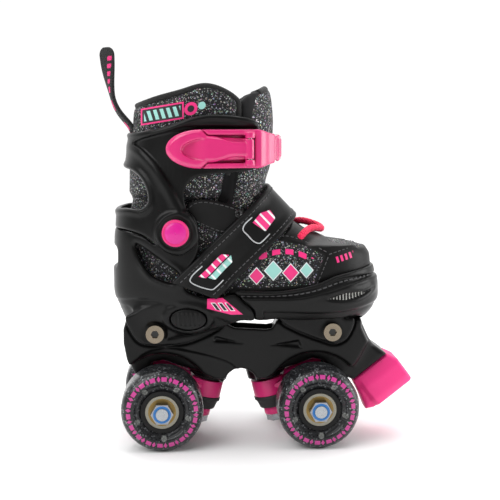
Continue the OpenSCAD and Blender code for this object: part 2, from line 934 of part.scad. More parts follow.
module toe_shell() {
    color(black_plastic)
        place_boot() {
            intersection() {
                lofted_wall(toe_rows, shell_wall);
                across(-60, 60)
                    polygon(toe_edge);
            }
            intersection() {
                translate([0, 0, toe_floor])
                    linear_extrude(toe_floor_t)
                        polygon(outline(toe_rows, toe_floor, -1));
                translate([heel_front + 0.6, -50, 0])
                    cube([100, 100, 200]);
            }
            both_sides() {
                translate([wing_rear, -wing_out, wing_low])
                    cube([wing_front - wing_rear, wing_t, wing_high - wing_low]);
                translate([heel_front + 1, -half_width(toe_rows, 12, 70) + 1, wing_low])
                    cube([5, half_width(toe_rows, 12, 70) - 1 - wing_out + wing_t, wing_high - wing_low]);
            }
        }
}

// Cuff
cuff_edge = [
    [-95, 180], [-72, 180], [-49, 184], [-31, 190], [-17, 192], [10, 188], [13, 183], [13, 158], [5, 155],
    [-18, 153], [-31, 150], [-35, 144], [-36, 138], [-33, 128], [-28, 118], [-27, 111], [-32, 105], [-39, 101],
    [-45, 102], [-53, 107], [-63, 114], [-77, 117], [-95, 117]
];
heel_cutout = [[-95, 154], [-72, 156], [-64, 150], [-60, 141], [-60, 135], [-64, 131], [-74, 131], [-95, 130]];
boss_out = half_width(cuff_rows, cuff_x, cuff_rise) + 1.2;
boss_d = 26;

module cuff() {
    $fn = 32;
    color(black_plastic)
        place_boot()
            difference() {
                union() {
                    intersection() {
                        lofted_wall(cuff_rows, cuff_wall);
                        across(-60, 60)
                            polygon(cuff_edge);
                    }
                    both_sides()
                        translate([cuff_x, -boss_out + cuff_wall, cuff_rise])
                            rotate([90, 0, 0])
                                cylinder(d = boss_d, h = cuff_wall);
                }
                across(-60, 60)
                    polygon(heel_cutout);
                translate([cuff_x, 0, cuff_rise])
                    rotate([90, 0, 0])
                        cylinder(d = (pin_bush_d + 0.04) / cos(180 / $fn), h = 120, center = true);
                for (x = base_rivet_x)
                    translate([x, 0, buckle_rise])
                        rotate([90, 0, 0])
                            cylinder(d = (rivet_d + 0.04) / cos(180 / $fn), h = 70);
                translate([ladder_rivet_x, 0, buckle_rise])
                    rotate([-90, 0, 0])
                        cylinder(d = (rivet_d + 0.04) / cos(180 / $fn), h = 70);
            }
}

module pivot_pins() {
    flange_t = 1;
    color(steel)
        place_boot()
            both_sides()
                translate([cuff_x, -shell_in, cuff_rise])
                    rotate([90, 0, 0]) {
                        cylinder(d = pin_d, h = boss_out + run_gap + cap_h / 2 - shell_in);
                        translate([0, 0, -flange_t])
                            cylinder(d = pin_flange_d, h = flange_t);
                    }
}

module pivot_bushes() {
    length = cuff_wall + 1;
    color(steel)
        place_boot()
            both_sides()
                translate([cuff_x, -boss_out + length, cuff_rise])
                    rotate([90, 0, 0])
                        tube(pin_bush_d, pin_d + 2 * turn_fit, length);
}

module pivot_caps() {
    edge_h = 1.2;
    color(pink_plastic)
        place_boot()
            both_sides()
                translate([cuff_x, -boss_out - run_gap, cuff_rise])
                    rotate([90, 0, 0])
                        difference() {
                            union() {
                                cylinder(d = cap_d, h = edge_h);
                                translate([0, 0, edge_h])
                                    cylinder(d1 = cap_d - 1.6, d2 = cap_d - 7, h = cap_h - edge_h);
                            }
                            translate([0, 0, -1])
                                cylinder(d = pin_d, h = 1 + cap_h / 2);
                        }
}

// Buckle: curved plates over the cuff, drawn between two distances from its skin
base_t = 1.8;
buckle_rail_t = 2;
buckle_half = ladder_w / 2 + run_gap + buckle_rail_t;
buckle_low = buckle_rise - buckle_half;
buckle_high = buckle_rise + buckle_half;
barrel_d = lever_pin_d + 3;
barrel_h = 4;
ladder_off = run_gap + base_t + 0.4;
ladder_out = ladder_off + ladder_t;
lever_off = ladder_out + 0.5;
lever_pin_off = ladder_out + 1.6 + barrel_d / 2;
lever_pin_y = -half_width(cuff_rows, lever_pin_x, buckle_rise) - lever_pin_off;
base_rivet_x = [-25, -14];
rivet_d = 3;
rivet_head_d = 6;

module skin_band(off, t, z0, z1, x0, x1) {
    intersection() {
        translate([0, 0, z0])
            linear_extrude(z1 - z0)
                difference() {
                    polygon(outline(cuff_rows, buckle_rise, off + t));
                    polygon(outline(cuff_rows, buckle_rise, off));
                }
        translate([x0, -70, z0])
            cube([x1 - x0, 70, z1 - z0]);
    }
}

module buckle_base() {
    base_rear = -30;
    knuckle_rear = lever_pin_x - barrel_d / 2;
    knuckle_front = lever_pin_x + barrel_d / 2;
    knuckle_t = lever_pin_off - run_gap;
    color(pink_plastic)
        place_boot()
            difference() {
                union() {
                    skin_band(run_gap, base_t, buckle_low, buckle_high, base_rear, knuckle_front);
                    for (z = [buckle_low, buckle_high - barrel_h])
                        translate([lever_pin_x, lever_pin_y, z])
                            cylinder(d = barrel_d, h = barrel_h);
                    for (z = [buckle_low, buckle_high - buckle_rail_t]) {
                        skin_band(run_gap, ladder_out - run_gap, z, z + buckle_rail_t, -6, knuckle_front);
                        skin_band(run_gap, knuckle_t, z, z + buckle_rail_t, knuckle_rear, knuckle_front);
                    }
                }
                translate([lever_pin_x, lever_pin_y, buckle_low - 1])
                    cylinder(d = lever_pin_d, h = 2 * buckle_half + 2);
                for (x = base_rivet_x)
                    translate([x, 0, buckle_rise])
                        rotate([90, 0, 0])
                            cylinder(d = rivet_d, h = 70);
            }
}

module buckle_rivets() {
    head_h = 1;
    color(steel)
        place_boot()
            for (x = base_rivet_x)
                translate([x, -half_width(cuff_rows, x, buckle_rise) - run_gap - base_t - 0.4, buckle_rise])
                    rotate([90, 0, 0]) {
                        translate([0, 0, -cuff_wall - run_gap - base_t])
                            cylinder(d = rivet_d, h = cuff_wall + run_gap + base_t);
                        cylinder(d = rivet_head_d, h = head_h);
                    }
}

module buckle_pin() {
    color(steel)
        place_boot()
            translate([lever_pin_x, lever_pin_y, buckle_low])
                cylinder(d = lever_pin_d, h = 2 * buckle_half);
}

module buckle_lever() {
    knuckle_low = buckle_low + barrel_h + run_gap;
    knuckle_high = buckle_high - barrel_h - run_gap;
    tail = lever_pin_x - lever_l;
    nose = lever_pin_x - barrel_d / 2 - run_gap;
    top = buckle_rise + lever_h / 2;
    low = buckle_rise - lever_h / 2;
    color(pink_plastic)
        place_boot()
            difference() {
                union() {
                    intersection() {
                        skin_band(lever_off, lever_t, low, top, tail, nose);
                        across(-70, 0)
                            polygon([
                                [nose, low], [nose, top], [tail + 22, top], [tail + 10, top - 3],
                                [tail + 3, top - 8],
                                [tail, buckle_rise + 1], [tail, buckle_rise - 1], [tail + 4, low + 7],
                                [tail + 12, low + 2], [tail + 22, low]
                            ]);
                    }
                    translate([lever_pin_x, lever_pin_y, knuckle_low])
                        cylinder(d = barrel_d, h = knuckle_high - knuckle_low);
                    skin_band(lever_pin_off - 1, 2.6, knuckle_low, knuckle_high, nose - 2, lever_pin_x);
                }
                translate([lever_pin_x, lever_pin_y, buckle_low - 1])
                    cylinder(d = lever_pin_d + 2 * turn_fit, h = 2 * buckle_half + 2);
            }
}

ladder_front = 26;
ladder_mid = -27;
ladder_reach = ladder_front - ladder_mid;
ladder_n = 2.8;
ladder_half = half_width(cuff_rows, ladder_mid, buckle_rise) + ladder_off;
ladder_rivet_x = -14;

function ladder_bow(c) = sign(c) * pow(abs(c), 2 / ladder_n);
function ladder_outline(grow) =
    [for (i = [0:2 * ring_n - 1])
        let (c = cos(180 * i / ring_n), s = sin(180 * i / ring_n))
        [ladder_mid + (ladder_reach + grow) * ladder_bow(c), (ladder_half + grow) * ladder_bow(s)]];
function ladder_y(x) = ladder_half * pow(1 - pow((x - ladder_mid) / ladder_reach, ladder_n), 1 / ladder_n);

module ladder_strap() {
    near_end = -4;
    far_end = ladder_rivet_x - 6;
    color(pink_plastic)
        place_boot()
            difference() {
                intersection() {
                    translate([0, 0, buckle_rise - ladder_w / 2])
                        linear_extrude(ladder_w)
                            difference() {
                                polygon(ladder_outline(ladder_t));
                                polygon(ladder_outline(0));
                            }
                    union() {
                        translate([near_end, -70, 0])
                            cube([100, 80, 300]);
                        translate([far_end, 0, 0])
                            cube([100, 80, 300]);
                    }
                }
                translate([ladder_rivet_x, 60, buckle_rise])
                    rotate([90, 0, 0])
                        cylinder(d = rivet_d, h = 60);
            }
}

module ladder_rivet() {
    head_h = 1.2;
    seat = 0.35;
    inner = half_width(cuff_rows, ladder_rivet_x, buckle_rise) + seat;
    strap_in = ladder_y(ladder_rivet_x) - seat;
    outer = ladder_y(ladder_rivet_x) + ladder_t + seat;
    color(steel)
        place_boot()
            translate([ladder_rivet_x, 0, buckle_rise])
                rotate([-90, 0, 0]) {
                    translate([0, 0, inner - cuff_wall])
                        cylinder(d = rivet_d, h = outer - inner + cuff_wall);
                    translate([0, 0, outer])
                        cylinder(d = rivet_head_d + 2, h = head_h);
                    translate([0, 0, inner])
                        cylinder(d = rivet_head_d, h = strap_in - inner);
                }
}

// Soft boot: the quarter stays with the heel shell, the vamp slides with the toe, the collar leans
split_low = [-17, 69];
split_high = [40, 124];
neck_r = 30;
rear_bend = 180.5;
front_bend = 8;
collar_front = 2.7;

function around(r, a) = [cuff_x + r * cos(a), cuff_rise + r * sin(a)];

quarter_edge = concat(
    [[-95, floor_rise], split_low, split_high, around(78, front_bend)],
    [for (i = [0:10]) around(neck_r, front_bend + (rear_bend - front_bend) * i / 10)],
    [around(60, rear_bend)]
);

module quarter() {
    color(glitter_cloth)
        place_boot()
            intersection() {
                lofted_wall(boot_rows, boot_wall);
                across(-60, 60)
                    polygon(quarter_edge);
            }
}

vamp_low = toe_floor + toe_floor_t + 0.1;
vamp_gap = 0.6;
vamp_edge = [
    [split_low[0] + vamp_gap + 3, vamp_low], [110, vamp_low], [110, 140], split_high + [vamp_gap + 14, 16],
    split_high + [vamp_gap, 0]
];

module vamp() {
    color(glitter_cloth)
        place_boot()
            intersection() {
                lofted_wall(boot_rows, boot_wall);
                across(-60, 60)
                    polygon(vamp_edge);
                translate([heel_front - 26, -60, 0])
                    cube([200, 120, 300]);
            }
}

// Padded edges are crowned in steps: how far each step sets in and how far it stays below the edge
crown_steps = [[0, 2], [1.4, 0]];
collar_bend = front_bend + cuff_forward + 0.6;
collar_rear_bend = rear_bend - cuff_back - 0.6;
collar_top = [[-1, 204], [-7, 208], [-16, 212], [-24, 213], [-38, 209], [-53, 205], [-68, 199], [-95, 198]];

function bend_height(x) = cuff_rise + (x - cuff_x) * tan(collar_bend);

function collar_edge(drop) = concat(
    [for (i = [0:8]) around(neck_r + 0.5, collar_rear_bend - (collar_rear_bend - collar_bend) * i / 8)],
    [[collar_front, bend_height(collar_front)], [collar_front, 192 - drop]],
    [for (p = collar_top) p - [0, drop]],
    [around(60, collar_rear_bend)]
);

module ankle_collar() {
    color(glitter_cloth)
        place_boot()
            for (step = crown_steps)
                intersection() {
                    difference() {
                        loft(boot_rows, -step[0]);
                        loft(boot_rows, -collar_wall + step[0]);
                    }
                    across(-60, 60)
                        polygon(collar_edge(step[1]));
                }
}

tongue_rear = collar_front + 0.6;
tongue_waist = [14.5, 150.6];
tongue_belly = [23, 172];

function tongue_edge(drop) = [
    [tongue_rear, bend_height(tongue_rear)], [12.2, bend_height(12.2)], tongue_waist, tongue_belly,
    [60, tongue_belly[1]], [60, 207 - drop], [20, 211 - drop], [10, 209 - drop], [tongue_rear, 205 - drop]
];

module tongue() {
    color(glitter_cloth)
        place_boot()
            for (step = crown_steps)
                intersection() {
                    difference() {
                        loft(boot_rows, -step[0]);
                        loft(boot_rows, -tongue_t + step[0]);
                    }
                    across(-60, 60)
                        polygon(tongue_edge(step[1]));
                }
}

// Instep strap: an arch in a plane that leans back over the instep
strap_foot = [-30, 78];
strap_top = [29, 134];
strap_slope = atan2(strap_top[1] - strap_foot[1], strap_top[0] - strap_foot[0]);
strap_rise = norm(strap_top - strap_foot);
strap_half = 35.6;
strap_leg = 26;
strap_tuck = 5;
strap_end = -2;
strap_n = 3;
strap_lean = atan2(strap_tuck, strap_leg - strap_end);
strap_cut = wing_high + 0.6;

function strap_bow(c) = sign(c) * pow(abs(c), 2 / strap_n);

function strap_arch(grow) = concat(
    [[strap_end, -strap_half + strap_tuck - grow]],
    [for (i = [0:32])
        let (a = -90 + 180 * i / 32)
        let (reach = strap_rise - strap_leg + grow)
        [strap_leg + reach * strap_bow(cos(a)), (strap_half + grow) * strap_bow(sin(a))]],
    [[strap_end, strap_half - strap_tuck + grow]]
);

module on_strap() {
    translate([strap_foot[0], 0, strap_foot[1]])
        rotate([0, -strap_slope, 0])
            children();
}

// Frame on the far leg of the strap: +Z out of the strap, at its inner face
module on_strap_leg(along) {
    on_strap()
        translate([strap_leg, strap_half, 0])
            rotate([0, 0, strap_lean])
                translate([along - strap_leg, 0, 0])
                    rotate([-90, 0, 0])
                        children();
}

strap_rivet_s = 10;

module instep_strap() {
    color(black_plastic)
        place_boot()
            difference() {
                on_strap()
                    translate([0, 0, -strap_w / 2])
                        linear_extrude(strap_w)
                            difference() {
                                polygon(strap_arch(strap_t));
                                polygon(strap_arch(0));
                                translate([strap_end - 1, 0])
                                    square([2 + 0.02, 2 * (strap_half - strap_tuck)], center = true);
                            }
                translate([-100, -60, 0])
                    cube([200, 120, strap_cut]);
                on_strap_leg(strap_rivet_s)
                    translate([0, 0, -5])
                        cylinder(d = rivet_d, h = 10);
            }
}

module strap_rivet() {
    head_h = 1;
    color(steel)
        place_boot()
            on_strap_leg(strap_rivet_s) {
                translate([0, 0, -head_h])
                    cylinder(d = rivet_head_d, h = head_h);
                cylinder(d = rivet_d, h = strap_t);
            }
}

// A tube of the given number of sides swept along points
function unit(v) = v / norm(v);
function heading(p, i) = unit(p[min(i + 1, len(p) - 1)] - p[max(i - 1, 0)]);
function sweep_points(p, d, sides) = [
    for (i = [0:len(p) - 1])
        let (t = heading(p, i))
        let (u = unit(cross(t, abs(t[2]) > 0.8 ? [1, 0, 0] : [0, 0, 1])))
        let (v = cross(t, u))
        for (k = [0:sides - 1])
            p[i] + d / 2 * (u * cos(360 * k / sides) + v * sin(360 * k / sides))
];
function sweep_faces(rings, sides) = concat(
    [[for (k = [0:sides - 1]) k]],
    [for (i = [0:rings - 2], k = [0:sides - 1])
        let (a = i * sides + k)
        let (b = i * sides + (k + 1) % sides)
        each [[a, a + sides, b], [b, a + sides, b + sides]]],
    [[for (k = [0:sides - 1]) rings * sides - 1 - k]]
);

module sweep_tube(p, d, sides) {
    polyhedron(sweep_points(p, d, sides), sweep_faces(len(p), sides));
}

// Lace: from the buckle-side eyelet over the throat, round in a bend and back along the ridge to the strap
eyelet_place = [41, 22.5, 110.5];
lace_route = [
    [40, -25.5, 109], [41, -25.8, 111.5], [43.5, -23, 113.8], [47, -17, 115.5], [51, -10.5, 116], [55, -4, 115],
    [57.6, 0.5, 114.4], [58.2, 4, 114.6], [56.6, 7.5, 115.8], [53, 10, 117.2], [48, 11.8, 118.6],
    [43.5, 13, 119.2], [40, 14, 119.4]
];

module lace() {
    color(pink_plastic)
        place_boot()
            sweep_tube(lace_route, lace_d, 10);
}

module eyelets() {
    ring_wall = 1.3;
    color(steel)
        place_boot()
            both_sides()
                translate([eyelet_place[0], -eyelet_place[1], eyelet_place[2]])
                    rotate([55, 0, 0])
                        tube(eyelet_d, eyelet_d - 2 * ring_wall, 1);
}

// Pull loop: two layers of webbing that stand up from the back of the collar with a quarter twist
loop_route = [
    [-71.4, 0, 180.6], [-72.8, 0, 184.5], [-75, 0, 188.5], [-77.6, 0, 193], [-79.8, 0, 198], [-81.8, 0, 203.5],
    [-83.5, 0, 210], [-85, 0, 217], [-86, 0, 224], [-86.6, 0, 231], [-87, 0, 236.5]
];

loop_twist = 60;
loop_rings = len(loop_route);
loop_points = [
    for (i = [0:loop_rings - 1])
        let (t = heading(loop_route, i))
        let (a = loop_twist * i / (loop_rings - 1))
        let (n = cross(t, [0, 1, 0]))
        let (u = [0, 1, 0] * cos(a) + n * sin(a))
        let (v = cross(t, u))
        for (c = [[-1, -1], [1, -1], [1, 1], [-1, 1]])
            loop_route[i] + u * c[0] * loop_w / 2 + v * c[1] * loop_t / 2
];

module pull_loop() {
    color(black_plastic)
        place_boot()
            polyhedron(loop_points, sweep_faces(loop_rings, 4));
}

// Reach of the whole skate, which puts the frame's origin under its middle
loop_rear = min([for (p = loop_points) p[0]]);
stop_front = max([for (p = stop_points) stop_mid[0] + p[0] * cos(stop_slope) + p[1] * sin(stop_slope)]);
frame_x = (loop_rear + stop_front) / 2;

chassis();
chassis_bolts();
cross_sleeves();
toe_stop();
toe_stop_screw();
kingpins();
kingpin_nuts();
pivot_cups();
lower_bushes();
hanger(-1);  // rear_hanger
axle(-1);  // rear_axle
axle_nuts(-1);  // rear_axle_nuts
spacers(-1);  // rear_spacers
upper_cushion(-1);  // rear_upper_cushion
lower_cushion(-1);  // rear_lower_cushion
hanger(1);  // front_hanger
axle(1);  // front_axle
axle_nuts(1);  // front_axle_nuts
spacers(1);  // front_spacers
upper_cushion(1);  // front_upper_cushion
lower_cushion(1);  // front_lower_cushion
tyre(-1, 1);  // tyre_rear_left
hub(-1, 1);  // hub_rear_left
bearings(-1, 1);  // bearings_rear_left
tyre(-1, -1);  // tyre_rear_right
hub(-1, -1);  // hub_rear_right
bearings(-1, -1);  // bearings_rear_right
tyre(1, 1);  // tyre_front_left
hub(1, 1);  // hub_front_left
bearings(1, 1);  // bearings_front_left
tyre(1, -1);  // tyre_front_right
hub(1, -1);  // hub_front_right
bearings(1, -1);  // bearings_front_right
heel_shell();
toe_shell();
size_rail();
push_button();
button_spring();
footbed();
cuff();
pivot_pins();
pivot_bushes();
pivot_caps();
buckle_base();
buckle_rivets();
buckle_pin();
buckle_lever();
ladder_strap();
ladder_rivet();
quarter();
vamp();
ankle_collar();
tongue();
eyelets();
lace();
instep_strap();
strap_rivet();
pull_loop();
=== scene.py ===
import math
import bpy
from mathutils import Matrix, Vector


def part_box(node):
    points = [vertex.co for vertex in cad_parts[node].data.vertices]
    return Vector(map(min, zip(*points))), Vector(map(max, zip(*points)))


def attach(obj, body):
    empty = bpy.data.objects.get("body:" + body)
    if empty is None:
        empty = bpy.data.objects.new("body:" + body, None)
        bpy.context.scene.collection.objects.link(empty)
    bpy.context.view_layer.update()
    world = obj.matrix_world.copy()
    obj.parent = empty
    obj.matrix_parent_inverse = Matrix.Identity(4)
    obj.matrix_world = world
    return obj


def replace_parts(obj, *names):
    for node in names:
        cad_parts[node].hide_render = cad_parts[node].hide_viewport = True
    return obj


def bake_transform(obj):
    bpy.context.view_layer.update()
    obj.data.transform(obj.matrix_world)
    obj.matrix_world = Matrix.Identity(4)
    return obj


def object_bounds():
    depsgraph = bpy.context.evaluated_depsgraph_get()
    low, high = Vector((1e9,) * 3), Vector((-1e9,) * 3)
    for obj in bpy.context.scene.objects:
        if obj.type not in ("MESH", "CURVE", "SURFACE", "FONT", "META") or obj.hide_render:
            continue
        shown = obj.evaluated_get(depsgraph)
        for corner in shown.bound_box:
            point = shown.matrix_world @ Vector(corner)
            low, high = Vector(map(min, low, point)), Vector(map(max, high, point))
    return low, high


bl_info = {
    "name": "Quad Skate Dresser",
    "version": (1, 0, 0),
    "blender": (4, 5, 0),
    "location": "View3D > Sidebar > Skate",
    "description": "Dresses the quad skate's frame with shells, padded boot, strap, buckle and wheels",
    "category": "Object",
}

import bpy
import numpy as np
from mathutils import Vector

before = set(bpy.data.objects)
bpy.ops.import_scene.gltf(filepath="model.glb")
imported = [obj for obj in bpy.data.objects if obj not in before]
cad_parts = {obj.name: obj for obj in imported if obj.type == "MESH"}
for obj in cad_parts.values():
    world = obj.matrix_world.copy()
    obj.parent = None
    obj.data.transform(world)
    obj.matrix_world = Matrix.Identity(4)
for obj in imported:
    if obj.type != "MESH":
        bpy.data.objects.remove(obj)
CAD_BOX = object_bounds()


def middle(node):
    """Middle of a CAD node's box, in metres."""
    low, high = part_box(node)
    return (low + high) / 2


REAR_AXLE, FRONT_AXLE = middle("rear_axle"), middle("front_axle")
ORIGIN = np.array((REAR_AXLE + FRONT_AXLE) / 2)
MM = 0.001

# Section outlines in mm from mid wheelbase on the axle line: height, back, front, widest place, half width
BOOT_ROWS = np.array([
    [69, -74, 84, 34, 32.5], [77, -78, 90.4, 34, 34], [88, -79, 90.6, 32, 34.5], [97, -79, 90, 28, 34],
    [102, -78.5, 87, 24, 33.5], [105, -78.5, 80, 20, 33], [107, -78.5, 65, 14, 32.5], [111, -78, 54, 8, 32],
    [119, -77.5, 39, 0, 31.5], [128, -76, 29.5, -10, 31.5], [138, -74, 21, -18, 32],
    [145, -73.5, 18, -22, 33], [158, -73, 21.5, -24, 34], [173, -71, 23, -25, 35],
    [188, -70, 24, -25, 35.5], [203, -69, 23, -25, 35.5], [216, -69, 20, -25, 35], [240, -69, 20, -25, 35],
])
HEEL_ROWS = np.array([
    [51, -77, 97, -5, 35], [57, -79, 97, -5, 38], [65, -82, 97, -5, 40], [77, -84, 97, -8, 40],
    [89, -84, 80, -16, 39], [103, -83.5, 50, -24, 38.3], [112, -83, 30, -27, 38], [118, -82, 30, -27, 37.8],
    [131, -78.5, 28, -28, 37.3], [142, -77, 28, -28, 37],
])
TOE_ROWS = np.array([
    [51, -80, 84, 34, 32], [57, -80, 91, 34, 37], [63, -80, 95, 34, 40], [71, -80, 97, 34, 41.2],
    [79, -80, 96.7, 34, 41.2], [85, -80, 94.8, 34, 40.5], [90, -80, 93.5, 34, 40], [100, -80, 92, 34, 39],
])
CUFF_ROWS = np.array([
    [98, -83.5, 34, -26, 42], [116, -82.5, 34, -26, 42], [129, -81.5, 32, -27, 41.5],
    [143, -77.6, 31, -27, 41], [156, -76, 31, -27, 41], [179, -73.2, 31, -27, 41.5],
    [205, -71.8, 31, -27, 41.5],
])
SHAPE = 2.4

# Side-view outlines, x and height
HEEL_EDGE = [
    (-95, 51), (-12, 53), (0, 57.3), (9, 57.7), (9, 63), (0, 72), (-4, 75), (-21, 73), (-36, 79), (-33, 91),
    (-28, 101), (-27, 116), (-30, 126), (-36, 130), (-48, 130), (-53, 127), (-54.5, 108), (-63, 112.9),
    (-77, 115.8), (-95, 115.8),
]
HEEL_WINDOW = [(-68, 107), (-64, 96), (-59, 89), (-55, 86), (-43, 83), (-40, 88), (-52, 97), (-65, 106)]
REAR_EAR = [(-75, 60), (-72, 50), (-66, 42), (-58, 40), (-40, 40.5), (-30, 43), (-12, 53), (-12, 60)]
FRONT_EAR = [(26, 69), (26, 57), (58, 41), (65, 39.5), (72, 43), (77, 56.5), (70, 57), (70, 69)]
TOE_EDGE = [
    (9.6, 57.7), (27, 58), (32, 57), (77, 57), (83, 56.5), (84.5, 51), (110, 51), (110, 88), (67, 87.2),
    (49, 81), (24, 77), (-3, 77), (-3, 75.7), (0.7, 72.6), (9.6, 63.4),
]
CUFF_EDGE = [
    (-95, 180), (-72, 180), (-49, 184), (-31, 190), (-17, 192), (10, 188), (13, 183), (13, 158), (5, 155),
    (-18, 153), (-31, 150), (-35, 144), (-36, 138), (-33, 128), (-28, 118), (-27, 111), (-32, 105),
    (-39, 101), (-45, 102), (-53, 107), (-63, 114), (-77, 117), (-95, 117),
]
HEEL_CUTOUT = [
    (-95, 154), (-72, 156), (-64, 150), (-60, 141), (-60, 135), (-64, 131), (-74, 131), (-95, 130),
]
CUFF_POCKET = [
    (-70, 173.5), (-50, 181), (-27, 185), (12, 184.5), (30, 184), (30, 150), (-18, 151), (-30, 140),
    (-35, 128.5), (-45.2, 145), (-53.9, 158.4), (-63, 168),
]
CUFF_PIVOT = (-42, 116)
CAP_RADIUS, CAP_OUT = 8.8, 42.95
BUCKLE_RISE = 170
LEVER_PIN = (6, -45.868)  # x and y
COLLAR_TOP = [(-1, 201), (-7, 205.5), (-16, 209.5), (-24, 210.4), (-38, 206.4), (-53, 202.4), (-66, 198)]
# Lines of the cords, x, y and height
LACE_ROUTE = [
    (40, -25.5, 109), (41, -25.8, 111.5), (43.5, -23, 113.8), (47, -17, 115.5), (51, -10.5, 116),
    (55, -4, 115), (57.6, 0.5, 114.4), (58.2, 4, 114.6), (56.6, 7.5, 115.8), (53, 10, 117.2),
    (48, 11.8, 118.6), (43.5, 13.4, 118.9), (40.4, 16, 117.8), (38.8, 19.5, 115.6), (38.6, 23, 112.8),
    (39.2, 25.3, 110.8), (40, 25.6, 109),
]
LOOP_ROUTE = [
    (-69.6, 0, 180.6), (-71.8, 0, 184.5), (-75, 0, 188.5), (-78.6, 0, 193), (-81.4, 0, 198),
    (-83.2, 0, 203.5), (-84.4, 0, 210), (-85.4, 0, 217), (-86.1, 0, 224), (-86.6, 0, 231), (-87, 0, 236.5),
]


def placed(points):
    """Points in mm from mid wheelbase on the axle line, in metres of the frame."""
    return np.asarray(points, float) * MM + ORIGIN


def ease(t):
    """Smooth step from 0 to 1."""
    t = np.clip(t, 0, 1)
    return t * t * (3 - 2 * t)


def curve(points, closed=False, cuts=6):
    """A smooth line through points: centripetal Catmull-Rom."""
    p = np.asarray(points, float)
    if closed:
        p = np.concatenate([p[-1:], p, p[:2]])
    else:
        p = np.concatenate([2 * p[:1] - p[1:2], p, 2 * p[-1:] - p[-2:-1]])
    made = []
    for a, b, c, d in zip(p[:-3], p[1:-2], p[2:-1], p[3:]):
        t1 = max(np.linalg.norm(b - a), 1e-6) ** 0.5
        t2 = t1 + max(np.linalg.norm(c - b), 1e-6) ** 0.5
        t3 = t2 + max(np.linalg.norm(d - c), 1e-6) ** 0.5
        for t in np.linspace(t1, t2, cuts, endpoint=False):
            ab = (t1 - t) / t1 * a + t / t1 * b
            bc = (t2 - t) / (t2 - t1) * b + (t - t1) / (t2 - t1) * c
            cd = (t3 - t) / (t3 - t2) * c + (t - t2) / (t3 - t2) * d
            abc = (t2 - t) / t2 * ab + t / t2 * bc
            bcd = (t3 - t) / (t3 - t1) * bc + (t - t1) / (t3 - t1) * cd
            made.append((t2 - t) / (t2 - t1) * abc + (t - t1) / (t2 - t1) * bcd)
    if not closed:
        made.append(p[-2])
    return np.array(made)


def even(points, step):
    """Points along a line at an even spacing close to step."""
    p = np.asarray(points, float)
    run = np.concatenate([[0], np.cumsum(np.linalg.norm(np.diff(p, axis=0), axis=1))])
    count = max(int(round(run[-1] / step)), 2)
    at = np.linspace(0, run[-1], count + 1)
    return np.stack([np.interp(at, run, p[:, k]) for k in range(p.shape[1])], 1)


def levels(rows, z):
    """Back, front, widest place and half width at heights z, by a monotone cubic through the rows."""
    h = rows[:, 0]
    z = np.clip(z, h[0], h[-1])
    i = np.clip(np.searchsorted(h, z, side="right") - 1, 0, len(h) - 2)
    gap = np.diff(h)
    t = (z - h[i]) / gap[i]
    found = []
    for k in range(1, rows.shape[1]):
        v = rows[:, k]
        s = np.diff(v) / gap
        m = np.zeros(len(v))
        m[0], m[-1] = s[0], s[-1]
        same = s[:-1] * s[1:] > 0
        m[1:-1][same] = 2 * s[:-1][same] * s[1:][same] / (s[:-1] + s[1:])[same]
        a, b = v[i], v[i + 1]
        ma, mb = m[i] * gap[i], m[i + 1] * gap[i]
        found.append(
            (2 * t**3 - 3 * t**2 + 1) * a + (t**3 - 2 * t**2 + t) * ma
            + (3 * t**2 - 2 * t**3) * b + (t**3 - t**2) * mb
        )
    return found


def half_width(rows, x, z, grow=0.0):
    """Half width of a section at x and z."""
    back, front, mid, half = levels(rows, np.asarray(z, float))
    u = np.asarray(x, float) - mid
    reach = np.where(u > 0, front - mid, mid - back) + grow
    return (half + grow) * np.maximum(1 - (np.abs(u) / reach) ** SHAPE, 0) ** (1 / SHAPE)


def depth_in(rows, points):
    """Rough signed distance of points from a lofted skin, negative inside."""
    x, y, z = points.T
    back, front, mid, half = levels(rows, z)
    u = x - mid
    reach = np.where(u > 0, front - mid, mid - back)
    rho = ((np.abs(u) / reach) ** SHAPE + (np.abs(y) / half) ** SHAPE) ** (1 / SHAPE)
    r = np.hypot(u, y)
    return r - r / np.maximum(rho, 0.05)


# Rounded joins of distance fields
def both(a, b, r=1.0):
    h = np.maximum(r - np.abs(a - b), 0) / r
    return np.maximum(a, b) + h * h * r * 0.25


def either(a, b, r=1.0):
    return -both(-a, -b, r)


def less(a, b, r=1.0):
    return both(a, -b, r)


